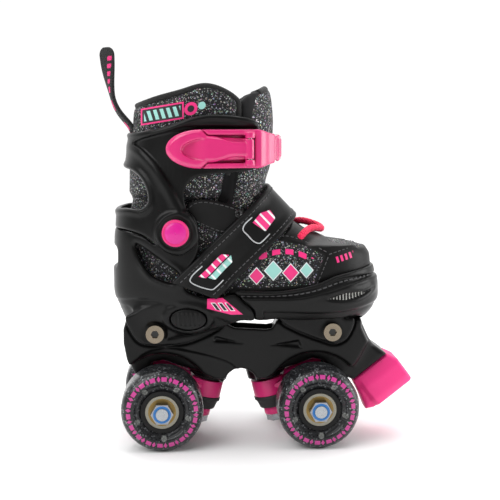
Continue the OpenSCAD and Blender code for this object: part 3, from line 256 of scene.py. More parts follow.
class Mould:
    """A block of sample points in mm on which a moulded form is worked out as a distance field."""

    def __init__(self, low, high, step):
        self.low = np.array(low, float)
        self.step = step * 1
        counts = np.ceil((np.array(high, float) - self.low) / self.step).astype(int) + 1
        axes = [(self.low[k] + self.step * np.arange(counts[k])).astype(np.float32) for k in range(3)]
        self.x, self.y, self.z = np.meshgrid(*axes, indexing="ij", sparse=True)

    def skin(self, rows, shape=SHAPE):
        """Distance to the lofted skin of the rows."""
        back, front, mid, half = (v.astype(np.float32) for v in levels(rows, self.z))
        u = self.x - mid
        reach = np.where(u > 0, front - mid, mid - back)
        rho = ((np.abs(u) / reach) ** shape + (np.abs(self.y) / half) ** shape) ** (1 / shape)
        r = np.sqrt(u * u + self.y * self.y)
        d = r - r / np.maximum(rho, 0.05)
        slope = np.sqrt(sum(g * g for g in np.gradient(d, self.step)))
        return d / np.clip(slope, 0.6, 4)

    def outline(self, points, smooth=True):
        """Distance to a side-view outline carried across the skate."""
        p = curve(points, True, 4) if smooth else np.asarray(points, float)
        x, z = self.x[:, 0, :], self.z[0, :, :]
        near = np.full((x.shape[0], z.shape[1]), 1e9, np.float32)
        inside = np.zeros(near.shape, bool)
        for (ax, az), (bx, bz) in zip(p, np.roll(p, -1, 0)):
            ex, ez = bx - ax, bz - az
            t = np.clip(((x - ax) * ex + (z - az) * ez) / max(ex * ex + ez * ez, 1e-9), 0, 1)
            near = np.minimum(near, (x - ax - t * ex) ** 2 + (z - az - t * ez) ** 2)
            if az != bz:
                inside ^= ((az <= z) != (bz <= z)) & (x < (bx - ax) * (z - az) / (bz - az) + ax)
        return np.where(inside, -np.sqrt(near), np.sqrt(near))[:, None, :]

    def rod_y(self, x, z, r):
        """Distance to a rod along Y."""
        return np.sqrt((self.x - x) ** 2 + (self.z - z) ** 2) - r

    def net(self, field):
        """Points and quads on the field's zero level."""
        f = np.array(np.broadcast_to(field, np.broadcast_shapes(self.x.shape, self.y.shape, self.z.shape)))
        for k in range(3):
            edge = np.moveaxis(f, k, 0)
            edge[0] = np.maximum(edge[0], self.step * 0.5)
            edge[-1] = np.maximum(edge[-1], self.step * 0.5)
        inside = f < 0
        near = np.zeros([n - 1 for n in f.shape], np.int8)
        for i in (0, 1):
            for j in (0, 1):
                for k in (0, 1):
                    near += inside[i:i + near.shape[0], j:j + near.shape[1], k:k + near.shape[2]]
        cells = np.argwhere((near > 0) & (near < 8))
        index = np.full(near.shape, -1, np.int32)
        index[tuple(cells.T)] = np.arange(len(cells))
        total, count = np.zeros((len(cells), 3)), np.zeros(len(cells))
        for axis in range(3):
            u, v = (axis + 1) % 3, (axis + 2) % 3
            for i in (0, 1):
                for j in (0, 1):
                    start = cells.copy()
                    start[:, u] += i
                    start[:, v] += j
                    end = start.copy()
                    end[:, axis] += 1
                    a, b = f[tuple(start.T)], f[tuple(end.T)]
                    cross = (a < 0) != (b < 0)
                    point = (start - cells).astype(float)
                    point[:, axis] += a / np.where(cross, a - b, 1)
                    total[cross] += point[cross]
                    count[cross] += 1
        points = (cells + total / count[:, None]) * self.step + self.low
        quads = []
        for axis in range(3):
            u, v = (axis + 1) % 3, (axis + 2) % 3
            g = np.argwhere(np.diff(inside, axis=axis))
            g = g[(g[:, u] > 0) & (g[:, v] > 0) & (g[:, u] < f.shape[u] - 1) & (g[:, v] < f.shape[v] - 1)]
            ring = []
            for du, dv in ((1, 1), (0, 1), (0, 0), (1, 0)):
                c = g.copy()
                c[:, u] -= du
                c[:, v] -= dv
                ring.append(index[tuple(c.T)])
            ring = np.stack(ring, 1)
            out = inside[tuple(g.T)]
            ring[~out] = ring[~out][:, ::-1]
            quads.append(ring)
        return points, np.concatenate(quads)


def add_mesh(name, points, faces, finish, origin=(0, 0, 0)):
    """A new object from points in mm and faces; its rest attribute keeps the points for the finishes."""
    mesh = bpy.data.meshes.new(name)
    points = np.asarray(points, float)
    origin = np.asarray(origin, float)
    mesh.from_pydata((points - origin) * MM, [], [tuple(int(i) for i in f) for f in faces])
    mesh.polygons.foreach_set("use_smooth", np.full(len(mesh.polygons), True))
    rest = mesh.attributes.new("rest", "FLOAT_VECTOR", "POINT")
    rest.data.foreach_set("vector", (points - origin).astype(np.float32).ravel())
    for f in finish if isinstance(finish, (list, tuple)) else [finish]:
        mesh.materials.append(f)
    made = bpy.data.objects.new(name, mesh)
    made.location = Vector(placed(origin))
    bpy.context.scene.collection.objects.link(made)
    return made


def cast(name, mould, field, finish):
    """A moulded piece from a field."""
    return add_mesh(name, *mould.net(field), finish)


def lathe(name, profile, centre, axis, finish, turns):
    """A turned piece: profile points are (radius, along axis) in mm about centre."""
    p = np.asarray(profile, float)
    axis = np.asarray(axis, float) / np.linalg.norm(axis)
    side = np.cross(axis, (0, 0, 1) if abs(axis[2]) < 0.9 else (1, 0, 0))
    side /= np.linalg.norm(side)
    up = np.cross(axis, side)
    angles = np.linspace(0, 2 * np.pi, turns, endpoint=False)
    points = [
        np.asarray(centre) + axis * a + r * (side * math.cos(t) + up * math.sin(t))
        for t in angles for r, a in p
    ]
    n = len(p)
    faces = []
    for i in range(turns):
        j = (i + 1) % turns
        for k in range(n):
            m = (k + 1) % n
            faces.append((i * n + k, i * n + m, j * n + m, j * n + k))
    return add_mesh(name, points, faces, finish, centre)


def sweep(rings):
    """Points and faces of a skin over rings of equal count, closed at both ends."""
    n, points = len(rings[0]), np.concatenate(rings)
    faces = []
    for i in range(len(rings) - 1):
        for k in range(n):
            m = (k + 1) % n
            faces.append((i * n + k, i * n + m, (i + 1) * n + m, (i + 1) * n + k))
    faces.append(tuple(range(n))[::-1])
    faces.append(tuple(range((len(rings) - 1) * n, len(rings) * n)))
    return points, faces


def tube(path, r, sides=12, flat=1.0):
    """Rings of a round or flattened tube along a path, with the flat side kept level."""
    p = np.asarray(path, float)
    rings = []
    side = None
    for i in range(len(p)):
        t = p[min(i + 1, len(p) - 1)] - p[max(i - 1, 0)]
        t /= np.linalg.norm(t)
        if side is None:
            side = np.cross(t, (0, 0, 1) if abs(t[2]) < 0.9 else (1, 0, 0))
        side = side - t * (side @ t)
        side /= np.linalg.norm(side)
        up = np.cross(t, side)
        a = np.linspace(0, 2 * np.pi, sides, endpoint=False)[:, None]
        rings.append(p[i] + r * (side * np.cos(a) + flat * up * np.sin(a)))
    return rings


def joined(parts):
    """One set of points and faces from several."""
    points, faces, start = [], [], 0
    for p, f in parts:
        points.append(np.asarray(p, float))
        faces += [tuple(i + start for i in face) for face in f]
        start += len(p)
    return np.concatenate(points), faces


def stitches(path, normals, length=2.2, gap=1.3, r=0.32):
    """Short thread stitches along a path, half sunk into the surface under it."""
    p, n = np.asarray(path, float), np.asarray(normals, float)
    run = np.concatenate([[0], np.cumsum(np.linalg.norm(np.diff(p, axis=0), axis=1))])
    made = []
    at = gap
    while at + length < run[-1]:
        s = np.linspace(at, at + length, 4)
        line = np.stack([np.interp(s, run, p[:, k]) for k in range(3)], 1)
        up = np.array([np.interp(s, run, n[:, k]) for k in range(3)]).T
        lift = np.array([-0.25, 0.12, 0.12, -0.25])[:, None]
        made.append(sweep(tube(line + up * lift, r, 6)))
        at += length + gap
    return joined(made)


def side_stitches(routes, width, out=(1.0, 0.0), **size):
    """Stitches along side-view routes on both sides; width gives the half width, out the way up."""
    made = []
    for side in (-1, 1):
        for p in routes:
            wide = width(p[:, 0], p[:, 1])
            up = np.stack([0 * wide, np.full(len(wide), out[0] * side), np.full(len(wide), out[1])], 1)
            made.append(stitches(np.stack([p[:, 0], side * wide, p[:, 1]], 1), up, **size))
    return joined(made)


# Finishes
class Value:
    """A socket of a finish's node tree, with arithmetic."""

    def __init__(self, tree, socket):
        self.tree, self.socket = tree, socket

    def math(self, operation, *others):
        made = self.tree.nodes.new("ShaderNodeMath")
        made.operation = operation
        for place, v in zip(made.inputs, (self, *others)):
            if isinstance(v, Value):
                self.tree.links.new(v.socket, place)
            else:
                place.default_value = v
        return Value(self.tree, made.outputs[0])

    def _back(self, operation, other):
        made = self.math(operation, self)
        node = made.socket.node
        self.tree.links.remove(node.inputs[0].links[0])
        node.inputs[0].default_value = other
        return made

    def __add__(self, o):
        return self.math("ADD", o)

    def __radd__(self, o):
        return self.math("ADD", o)

    def __sub__(self, o):
        return self.math("SUBTRACT", o)

    def __rsub__(self, o):
        return self._back("SUBTRACT", o)

    def __mul__(self, o):
        return self.math("MULTIPLY", o)

    def __rmul__(self, o):
        return self.math("MULTIPLY", o)

    def __truediv__(self, o):
        return self.math("DIVIDE", o)

    def __rtruediv__(self, o):
        return self._back("DIVIDE", o)

    def __pow__(self, o):
        return self.math("POWER", o)

    def __neg__(self):
        return self.math("MULTIPLY", -1.0)

    def __abs__(self):
        return self.math("ABSOLUTE")

    def __lt__(self, o):
        return self.math("LESS_THAN", o)

    def __gt__(self, o):
        return self.math("GREATER_THAN", o)


def biggest(a, *more):
    """Largest of values, for sockets and for arrays."""
    for b in more:
        if isinstance(a, Value):
            a = a.math("MAXIMUM", b)
        elif isinstance(b, Value):
            a = b.math("MAXIMUM", a)
        else:
            a = np.maximum(a, b)
    return a


def smallest(a, *more):
    """Smallest of values, for sockets and for arrays."""
    return -biggest(-a, *[-b for b in more])


def beyond(x, z, a, b):
    """Distance of (x, z) to the right of the line from a to b, for sockets and for arrays."""
    dx, dz = b[0] - a[0], b[1] - a[1]
    size = math.hypot(dx, dz)
    return (x - a[0]) * (dz / size) - (z - a[1]) * (dx / size)


def outside(x, z, corners):
    """Distance outside a convex outline whose corners go anticlockwise, for sockets and for arrays."""
    ends = list(corners[1:]) + [corners[0]]
    return biggest(*[beyond(x, z, a, b) for a, b in zip(corners, ends)])


class Nodes:
    """The node tree of a material or a world."""

    def __init__(self, owner, end):
        owner.use_nodes = True
        self.owner, self.tree = owner, owner.node_tree
        self.tree.nodes.clear()
        self.end = self.tree.nodes.new(end)

    def node(self, kind, settings=(), inputs=(), output=0):
        made = self.tree.nodes.new(kind)
        for key, value in dict(settings).items():
            if key == "stops":
                ramp = made.color_ramp
                while len(ramp.elements) < len(value):
                    ramp.elements.new(0.5)
                for place, (at, shade) in zip(ramp.elements, value):
                    place.position, place.color = at, shade
            else:
                setattr(made, key, value)
        for key, value in dict(inputs).items():
            if isinstance(value, Value):
                self.tree.links.new(value.socket, made.inputs[key])
            else:
                made.inputs[key].default_value = value
        return Value(self.tree, made.outputs[output])

    def done(self, shader):
        self.tree.links.new(shader.socket, self.end.inputs[0])
        return self.owner


class Finish(Nodes):
    """A procedural material whose places are in mm."""

    def __init__(self, name):
        super().__init__(bpy.data.materials.new("finish_" + name), "ShaderNodeOutputMaterial")
        self.seen = {}

    def place(self):
        """Point on the piece at rest, in mm."""
        if "place" not in self.seen:
            self.seen["place"] = self.node(
                "ShaderNodeAttribute", {"attribute_type": "GEOMETRY", "attribute_name": "rest"}, output=1
            )
        return self.seen["place"]

    def cad_place(self):
        """Point on a CAD node, in mm."""
        at = self.node("ShaderNodeTexCoord", output=3)
        return self.node("ShaderNodeVectorMath", {"operation": "SCALE"}, {0: at, 3: 1 / MM})

    def xyz(self, at=None):
        at = at or self.place()
        return [self.node("ShaderNodeSeparateXYZ", inputs={0: at}, output=k) for k in range(3)]

    def noise(self, scale, detail, at=None):
        inputs = {"Vector": at or self.place(), "Scale": scale, "Detail": detail}
        return self.node("ShaderNodeTexNoise", inputs=inputs)

    def cells(self, scale, output=1, feature="F1"):
        inputs = {"Vector": self.place(), "Scale": scale}
        return self.node("ShaderNodeTexVoronoi", {"feature": feature}, inputs, output)

    def channels(self, shade):
        """The three channels of a colour."""
        return [self.node("ShaderNodeSeparateColor", inputs={0: shade}, output=k) for k in range(3)]

    def mix(self, share, a, b):
        return self.node("ShaderNodeMix", {"data_type": "RGBA"}, {0: share, 6: a, 7: b}, 2)

    def shades(self, share, colour, low, high):
        """Mix from a darker to a lighter shade of a colour."""
        return self.mix(share, *[rgb([min(c * k, 1) for c in colour]) for k in (low, high)])

    def layer(self, share, under, over):
        """One shader laid over another by a share."""
        return self.node("ShaderNodeMixShader", inputs={0: share, 1: under, 2: over})

    def bump(self, height, strength, distance=0.0002):
        inputs = {"Height": height, "Strength": strength, "Distance": distance}
        return self.node("ShaderNodeBump", inputs=inputs)

    def surface(self, **inputs):
        """The principled shader; its sockets are named in small letters with underscores."""
        named = {key.replace("_", " ").title().replace("Ior", "IOR"): value for key, value in inputs.items()}
        return self.node("ShaderNodeBsdfPrincipled", inputs=named)


def rgb(c):
    """A colour with full cover."""
    return (*c, 1.0)


def glitter_surface(f, dark, spread):
    """Black cloth under a layer of small mirror flakes of many tints, their glints painted as a bright base
    colour; spread is the share left bare.
    """
    small, large = f.channels(f.cells(2.0)), f.channels(f.cells(1.25))
    # Where the flakes lie and how bright: real flakes, with their sparkle painted in as highlight
    flake_glint = biggest(
        (small[0] > spread) * (0.02 + small[1] ** 3 * 0.95), (large[0] > 0.92) * (0.12 + large[1] ** 2 * 0.7)
    )
    tint = f.node("ShaderNodeCombineColor", {"mode": "HSV"}, {0: large[2], 1: small[2] ** 2 * 0.75, 2: 1.0})
    # The base colour is lifted towards each flake's tint: painted glint, so the flakes shine whatever the
    # lamps do
    return f.surface(
        base_color=f.mix(flake_glint * 0.7, rgb(dark), tint), roughness=0.6 - flake_glint * 0.3, metallic=flake_glint * 0.6,
        specular_ior_level=0.3, normal=f.bump(small[1], 0.5),
    )


def leather_surface(f, dark):
    """Smooth coated leather with a fine grain and soft creases."""
    grain = f.cells(1.6, output=0, feature="SMOOTH_F1")
    height = grain * 0.5 + f.noise(0.12, 3) * 1.6
    worn = f.noise(0.06, 2)
    return f.surface(
        base_color=f.shades(worn, dark, 0.75, 1.35), roughness=0.42 + worn * 0.14 - 0.07,
        specular_ior_level=0.2, normal=f.bump(height, 0.28, 0.0004),
    )


def plastic_surface(f, colour, rough, grain=0.12, where=None, marks=None, **more):
    """Moulded plastic: spark-eroded grain, faint flow marks, uneven gloss; marks tint a part of it."""
    fine, flow = f.noise(1.9, 2, where), f.noise(0.035, 3, where)
    shade = f.shades(flow * 0.6 + fine * 0.4, colour, 0.86, 1.14)
    if marks:
        share, tint = marks
        shade = f.mix(share, shade, tint)
    return f.surface(
        base_color=shade, roughness=rough + flow * 0.12 - 0.06, normal=f.bump(fine, grain), **more
    )


def plastic(name, colour, rough, grain=0.12, at="place", coat=0.0, shine=0.5):
    """A finish of moulded plastic for a new piece, or for a CAD node."""
    f = Finish(name)
    where = f.place() if at == "place" else f.cad_place()
    return f.done(plastic_surface(
        f, colour, rough, grain, where, coat_weight=coat, coat_roughness=0.12, specular_ior_level=shine
    ))


def metal(name, colour, rough):
    """Plated steel: fine scratches and a patchy shine."""
    f = Finish(name)
    where = f.cad_place()
    patch = f.noise(0.6, 4, where)
    return f.done(f.surface(
        base_color=f.shades(patch, colour, 0.75, 1), metallic=1.0, roughness=rough + patch * 0.2 - 0.1,
        normal=f.bump(f.noise(3.5, 2, where), 0.05, 0.0001),
    ))


def rubber(name, colour):
    """Matt moulded rubber with a dusty bloom."""
    f = Finish(name)
    dust = f.noise(0.25, 4)
    return f.done(f.surface(
        base_color=f.mix(dust, rgb(colour), rgb([c * 2.2 + 0.004 for c in colour])),
        roughness=0.55 + dust * 0.3, normal=f.bump(f.noise(1.4, 3), 0.25),
    ))


def cloth(name, colour, scale=2.2):
    """Knitted lining: small raised loops in rows."""
    f = Finish(name)
    x, y, z = f.xyz()
    wave = ((x + y) * scale * 3.1).math("SINE") * (z * scale * 4.2).math("SINE")
    soft = f.noise(0.08, 3)
    return f.done(f.surface(
        base_color=f.shades(soft, colour, 0.7, 1.5), roughness=0.9, sheen_weight=0.1,
        normal=f.bump(wave * 0.5 + soft, 0.45, 0.0003),
    ))


def height_at(x, line):
    """Height of a side-view line at x."""
    p = curve(line, False, 8)
    return np.interp(x, p[:, 0], p[:, 1]).astype(np.float32)


# Moulded shells
SHELL_WALL = 2.5
HEEL_RIDGE = [
    (-90, 69), (-77, 70.8), (-65, 72.7), (-51.7, 71.9), (-31.5, 67), (-15, 60.9), (0, 55), (20, 50),
]
BOLTS = ((-56, 48), (62, 48))
EAR_MID, EAR_HALF = 27.8, 1.5
CHASSIS_HALF = 26
BUTTON = (-34, 58.5)
BUTTON_YAW = math.radians(9)
BUTTON_OUT = float(half_width(HEEL_ROWS, *BUTTON))
SPRING_SPAN, SPRING_RADIUS = (-3.2, -1.1), 3.6
WING_OUT = float(half_width(HEEL_ROWS, 0, 61)) - SHELL_WALL - 0.3


def button_frame(m):
    """Distance outside the push button's oval, height over the shell's skin, and places along and up it."""
    c, s = math.cos(BUTTON_YAW), math.sin(BUTTON_YAW)
    dx, dy = m.x - BUTTON[0], m.y + BUTTON_OUT
    along, rise = dx * c - dy * s, -dx * s - dy * c
    up = m.z - BUTTON[1]
    return (np.sqrt((along / 12) ** 2 + (up / 7) ** 2) - 1) * 7.5, rise, along, up


def make_heel_shell(look):
    m = Mould((-90, -46, 37), (82, 46, 134), 0.9)
    x, y, z = m.x, np.abs(m.y), m.z
    plain = m.skin(HEEL_ROWS)
    window = m.outline(HEEL_WINDOW)
    skin = plain + 1.4 * ease((height_at(x, HEEL_RIDGE) - z) / 2.5)
    skin = skin - 1.5 * np.exp(-(((window - 1.5) / 2.4) ** 2)) * ease((99 - z) / 10) * ease((x + 72) / 8)
    wall = both(skin, -(plain + SHELL_WALL + 0.6), 1.0)
    wall = both(wall, m.outline(HEEL_EDGE), 1.5)
    wall = less(wall, window - np.clip(2.4 + skin, 0, 3), 0.8)
    wall = less(wall, np.maximum(both(y - 14.5, np.abs(z - 97.5) - 6.5, 6), x + 60), 2.2)
    plate = np.abs(y - EAR_MID) - EAR_HALF
    ears = either(both(m.outline(REAR_EAR), plate, 1), both(m.outline(FRONT_EAR), plate, 1), 1)
    reach = np.where(x < -17, y - 60, np.where(x < 0, y - 33, y - 26))
    floor = both(both(plain + 1.2, np.abs(z - 67.5) - 1.5, 0.8), np.maximum(reach, x - 71), 0.8)
    body = either(either(wall, floor, 1.5), ears, 7)
    oval, rise, _, _ = button_frame(m)
    body = either(body, both(oval - 2.4, both(rise - 0.3, -rise - 5, 0.5), 1.2), 4)
    body = less(body, both(oval - 0.35, -rise - 3.5, 0.5), 0.5)
    body = less(body, np.maximum(y - CHASSIS_HALF - 0.15, z - 55.3), 0.8)
    for bx, bz in BOLTS:
        body = less(body, both(m.rod_y(bx, bz, 7.6), 29.35 - y, 0.4), 1.6)
    made = cast("heel_shell_moulding", m, body, look("sticker_plastic"))
    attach(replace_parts(made, "heel_shell"), "base")

    m = Mould((-49, -42, 49), (-19, -31, 68), 0.4)
    oval, rise, along, up = button_frame(m)
    ribs = 0.4 * np.cos(along * 2 * np.pi / 3)
    ribs = ribs * ease((8.6 - np.abs(along)) / 1.5) * ease((4.4 - np.abs(up)) / 1.2)
    crown = 0.7 - 0.004 * (along * along + 2 * up * up) + ribs
    pad = both(oval + 0.1, both(rise - crown, -0.8 - rise, 0.4), 0.6)
    made = cast("push_button_pad", m, pad, look("black_plastic"))
    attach(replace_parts(made, "push_button"), "button")

    c, s = math.cos(BUTTON_YAW), math.sin(BUTTON_YAW)
    turn, rise = np.linspace(0, 5 * np.pi, 90), np.linspace(*SPRING_SPAN, 90)
    along, up = SPRING_RADIUS * np.cos(turn), SPRING_RADIUS * np.sin(turn)
    route = np.stack(
        [BUTTON[0] + along * c - rise * s, -BUTTON_OUT - along * s - rise * c, BUTTON[1] + up], 1
    )
    made = add_mesh("button_spring_coil", *sweep(tube(route, 0.25, 8)), look("steel"))
    ends = [tuple(placed((BUTTON[0] - r * s, -BUTTON_OUT - r * c, BUTTON[1]))) for r in SPRING_SPAN]
    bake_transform(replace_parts(made, "button_spring"))


TOE_TOP = [(-20, 77), (-3, 77), (24, 77), (49, 81), (67, 87.2), (110, 88)]
TOE_RIDGE = [(-20, 73), (14, 72.2), (40, 72.6), (59, 76.6), (74, 80.5), (90, 83.5), (110, 84.2)]
TOE_CREASE = [(-20, 64), (26, 64.4), (52.6, 63.4), (72.5, 63.9), (88, 66.5), (110, 70)]
TOE_VENT = [(57, 71.4), (70, 75.4), (82, 75.2), (91, 76.8), (82, 71.6), (70, 69.4)]


def make_toe_shell(look):
    m = Mould((-22, -45, 49), (102, 45, 92), 0.75)
    x, y, z = m.x, np.abs(m.y), m.z
    plain = m.skin(TOE_ROWS)
    top, ridge = height_at(x, TOE_TOP), height_at(x, TOE_RIDGE)
    vent = m.outline(TOE_VENT)
    skin = plain + 1.6 * ease((top - 1.9 - z) / 1.0) * ease((z - ridge) / 1.0)
    skin = skin - 0.5 * np.exp(-(((z - ridge + 1.2) / 1.2) ** 2))
    skin = skin + 1.0 * ease((height_at(x, TOE_CREASE) - z) / 2.2)
    skin = skin + 1.3 * ease(-vent / 1.2) - 0.6 * np.exp(-(((vent - 1.6) / 1.6) ** 2)) * ease((x - 40) / 20)
    grille = ease((np.cos(x * 2 * np.pi / 2.2) - 0.2) / 0.5) * ease((-vent - 0.6) / 0.6) * ease((84 - x) / 3)
    skin = skin - 0.9 * grille
    wall = both(skin, -(plain + SHELL_WALL + 0.8), 0.9)
    wall = both(wall, m.outline(TOE_EDGE), 1.2)
    floor = both(both(plain + 1.2, np.abs(z - 70.3) - 1.0, 0.6), 9.8 - x, 0.6)
    wings = both(np.abs(y - WING_OUT + 1) - 1, both(np.abs(x + 1) - 16, np.abs(z - 66) - 5, 0.6), 0.6)
    link = both(np.abs(y - WING_OUT - 1) - 3, both(np.abs(x - 12.5) - 2.5, np.abs(z - 65) - 6, 0.6), 0.6)
    body = either(either(wall, floor, 1.5), either(wings, link, 0.8), 1.0)
    made = cast("toe_shell_moulding", m, body, look("toe_plastic"))
    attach(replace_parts(made, "toe_shell"), "toe")
    run = np.linspace(-1, 88, 60)
    route = even(np.stack([run, (height_at(run, TOE_TOP) + height_at(run, TOE_RIDGE)) / 2 - 0.7], 1), 1)
    threads = side_stitches(
        [route], lambda x, z: half_width(TOE_ROWS, x, z) - 1.65, length=2.4, gap=1.5, r=0.5
    )
    made = add_mesh("toe_rim_stitching", *threads, look("dull_thread"))
    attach(made, "toe")


def make_cuff(look):
    m = Mould((-88, -47, 97), (18, 47, 196), 0.75)
    x, y, z = m.x, np.abs(m.y), m.z
    plain = m.skin(CUFF_ROWS)
    pocket, cutout, edge = m.outline(CUFF_POCKET), m.outline(HEEL_CUTOUT), m.outline(CUFF_EDGE)
    crease = ease((-18 - x) / 10) * ease((176 - z) / 8)
    skin = plain + 1.8 * ease(-pocket / 1.9) - 1.2 * np.exp(-(((pocket - 2.5) / 3) ** 2)) * crease
    skin = skin - 0.9 * np.exp(-(((cutout - 2) / 2) ** 2))
    skin = skin - 0.7 * np.exp(-(((edge + 2) / 1.5) ** 2)) * ease((z - 172) / 6)
    wall = both(skin, -(plain + 3.0), 1.0)
    wall = less(both(wall, edge, 1.5), cutout, 1.7)
    boss = m.rod_y(*CUFF_PIVOT, 13)
    boss = both(both(boss, y - 42.6, 1.2), -(plain + 2.9), 0.5)
    wall = either(wall, boss, 3)
    ring = np.abs(m.rod_y(*CUFF_PIVOT, 10)) - 0.6
    wall = less(wall, both(ring, 42.0 - y, 0.4), 0.7)
    made = cast("cuff_moulding", m, wall, look("black_plastic"))
    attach(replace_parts(made, "cuff"), "cuff")
    r = CAP_RADIUS
    profile = [(0.01, 0), (r, 0), (r, 0.9), (r - 0.3, 1.4), (r - 1.0, 1.6), (r - 1.5, 1.3), (r - 2.1, 1.4)]
    for k in np.linspace(0, 6.19, 8):
        profile.append((r - 2.6 - k, 1.9 + 1.2 * math.sin(k / 6.2 * math.pi / 2)))
    for side, name in ((-1, "near"), (1, "far")):
        at = (CUFF_PIVOT[0], side * CAP_OUT, CUFF_PIVOT[1])
        made = lathe(f"pivot_cap_{name}", profile, at, (0, side, 0), look("cap_pink"), 64)
        if side < 0:
            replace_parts(made, "pivot_caps")
        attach(made, "base")


CHASSIS_EDGE = [
    (-75.5, 55), (-77, 50), (-77, 41), (-75, 30), (-71.5, 21), (-69, 16), (-62.5, 14.5), (-58.5, 25.5),
    (-50.5, 27), (-41.5, 23.5), (-34.5, 21.5), (-19.5, 17), (-10, 11), (-9.2, 15.4), (-7, 19), (-3.4, 21.7),
    (1.4, 22.8), (6.2, 21.7), (9.6, 19), (11.8, 15.4), (12.5, 11.4), (21.5, 17), (34.5, 21.5), (41.5, 23.5),
    (50.5, 27), (58.5, 25.5), (62.5, 14.5), (70.5, 16), (80, 27), (87, 40), (82.5, 50), (82.5, 55),
    (-75.5, 55),
]
SLOT_EDGE = [(-26, 75), (-7, 52.5), (-3, 50.6), (18, 49.2), (22, 50), (24.4, 54), (25, 75)]
HORN_EDGE = [(82.5, 50), (87, 40), (102, 29), (79, 11), (70.5, 16), (59.5, 33)]
WEDGES = ([(-16.8, 45.9), (-17.5, 40.8), (7.8, 39.1)], [(18.7, 38.5), (40.7, 42.4), (42.8, 35.8)])
FENDER = [
    (-90, 12), (-72.5, 26.6), (-63, 34.8), (-49.4, 38.7), (-31.8, 35.7), (-15.5, 31.3), (-4, 26), (6, 10),
    (20, 0),
]
KINGPIN_LEAN = math.radians(14)
KINGPIN_X, KINGPIN_Z = 22.5, 6.0
AXLE_X = 51.5
STOP_X, STOP_Z = 90.5, 20
STOP_AXIS = (0.6164, 0.7874)
STOP_CORNERS = [
    (-14.6, 0.1), (14.6, 0.1), (18.4, 8), (18, 25.2), (16.5, 26.7), (-15, 26.7), (-20.3, 23.5), (-17.7, 15),
]
STEER = np.array((-43.5, 0, 18)) / math.hypot(43.5, 18)


def rod(m, start, axis, low, high, r):
    """Distance to a rod from low to high along an axis."""
    d = [v - s for v, s in zip((m.x, m.y, m.z), start)]
    along = sum(v * a for v, a in zip(d, axis))
    away = np.sqrt(np.maximum(sum(v * v for v in d) - along * along, 0))
    return np.maximum(away - r, np.maximum(low - along, along - high))


def kingpin(end):
    """Foot and axis of a kingpin; end is -1 at the rear and 1 at the front."""
    return (end * KINGPIN_X, 0, KINGPIN_Z), (-end * math.sin(KINGPIN_LEAN), 0, math.cos(KINGPIN_LEAN))


def stop_frame(x, z):
    """Distance out from the toe stop's seat, and along it."""
    dx, dz = x - STOP_X, z - STOP_Z
    return dx * STOP_AXIS[0] - dz * STOP_AXIS[1], dx * STOP_AXIS[1] + dz * STOP_AXIS[0]


def make_chassis(look):
    m = Mould((-80, -29, 9), (105, 29, 58), 0.8)
    x, y, z = m.x, np.abs(m.y), m.z
    inset = 1.4 * ease((height_at(x, FENDER) - z) / 2) + 0 * z
    for wedge in WEDGES:
        inset = inset + 1.9 * ease(-m.outline(wedge, False) / 1.6)
    ears = np.minimum(m.outline(REAR_EAR), m.outline(FRONT_EAR))
    inset = inset + 1.5 * np.exp(-(((ears - 1.0) / 0.9) ** 2))
    body = both(m.outline(CHASSIS_EDGE, False), y - CHASSIS_HALF + inset, 2.2)
    kings = []
    for end in (-1, 1):
        start, axis = kingpin(end)
        kings.append((start, axis, (-end * STEER[0], 0, STEER[2])))
        body = either(body, rod(m, start, axis, 7.8, 27, 13.5), 2)
    inward = m.y + CHASSIS_HALF
    body = less(body, outside(x - 0.085 * inward, z + 0.104 * inward, SLOT_EDGE), 1.2)
    body = less(body, both(both(y - 21.5, np.abs(x - 10) - 16, 1), 40 - z, 1), 1)
    horn = both(m.outline(HORN_EDGE, False), y - 15, 3)
    body = either(body, horn, 9)
    body = both(body, y - CHASSIS_HALF, 0.5)
    for wx in (-AXLE_X, AXLE_X):
        body = less(body, np.maximum(m.rod_y(wx, 0, 33), 16.5 - y), 2.2)
    body = less(body, np.maximum(np.abs(x) - AXLE_X, np.maximum(16.5 - y, z - 15.5)), 1)
    for start, axis, steer in kings:
        body = less(body, rod(m, start, axis, -1, 11, 10.5), 0.8)
        body = less(body, rod(m, start, axis, 24, 60, 8), 0.8)
        body = less(body, rod(m, start, steer, 0, 48, 7.5), 0.8)
    body = np.maximum(body, stop_frame(x, z)[0] - 0.05)
    made = cast("chassis_moulding", m, body, look("black_plastic"))
    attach(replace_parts(made, "chassis"), "base")

    m = Mould((74, -17, -14), (123, 17, 34), 0.6)
    x, y, z = m.x, np.abs(m.y), m.z
    out, along = stop_frame(x, z)
    c, s = STOP_AXIS
    edge = [(STOP_X + a * s + b * c, STOP_Z + a * c - b * s) for a, b in STOP_CORNERS]
    half = 12.2 + 2.8 * ease(out / 11) - 4.5 * ease((out - 19) / 9)
    half = half - 3.2 * ease((-along - 10.5) / 3.5) * ease(out / 9)
    block = both(m.outline(edge, False), y - half, 3.2)
    block = less(block, rod(m, (STOP_X, 0, STOP_Z), (c, 0, -s), 14.7, 40, 6), 1.2)
    made = cast("toe_stop_block", m, block, look("pink_rubber"))
    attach(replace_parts(made, "toe_stop"), "base")


# Buckle
BUCKLE_LINE = [float(v) for v in levels(CUFF_ROWS, np.array(float(BUCKLE_RISE)))]
BUCKLE_ROWS = np.array([[100, *BUCKLE_LINE], [240, *BUCKLE_LINE]])
LEAF = [(-25.6, 157.6)] + [
    (-25.6 - 22.2 * math.cos(t), BUCKLE_RISE + 12.4 * math.sin(t))
    for t in np.radians(np.linspace(-80, 80, 25))
] + [(-25.6, 182.4), (-21.6, 178.5), (-8, 178.4), (7, 178.3), (7, 161.7), (-8, 161.6), (-21.6, 161.5)]


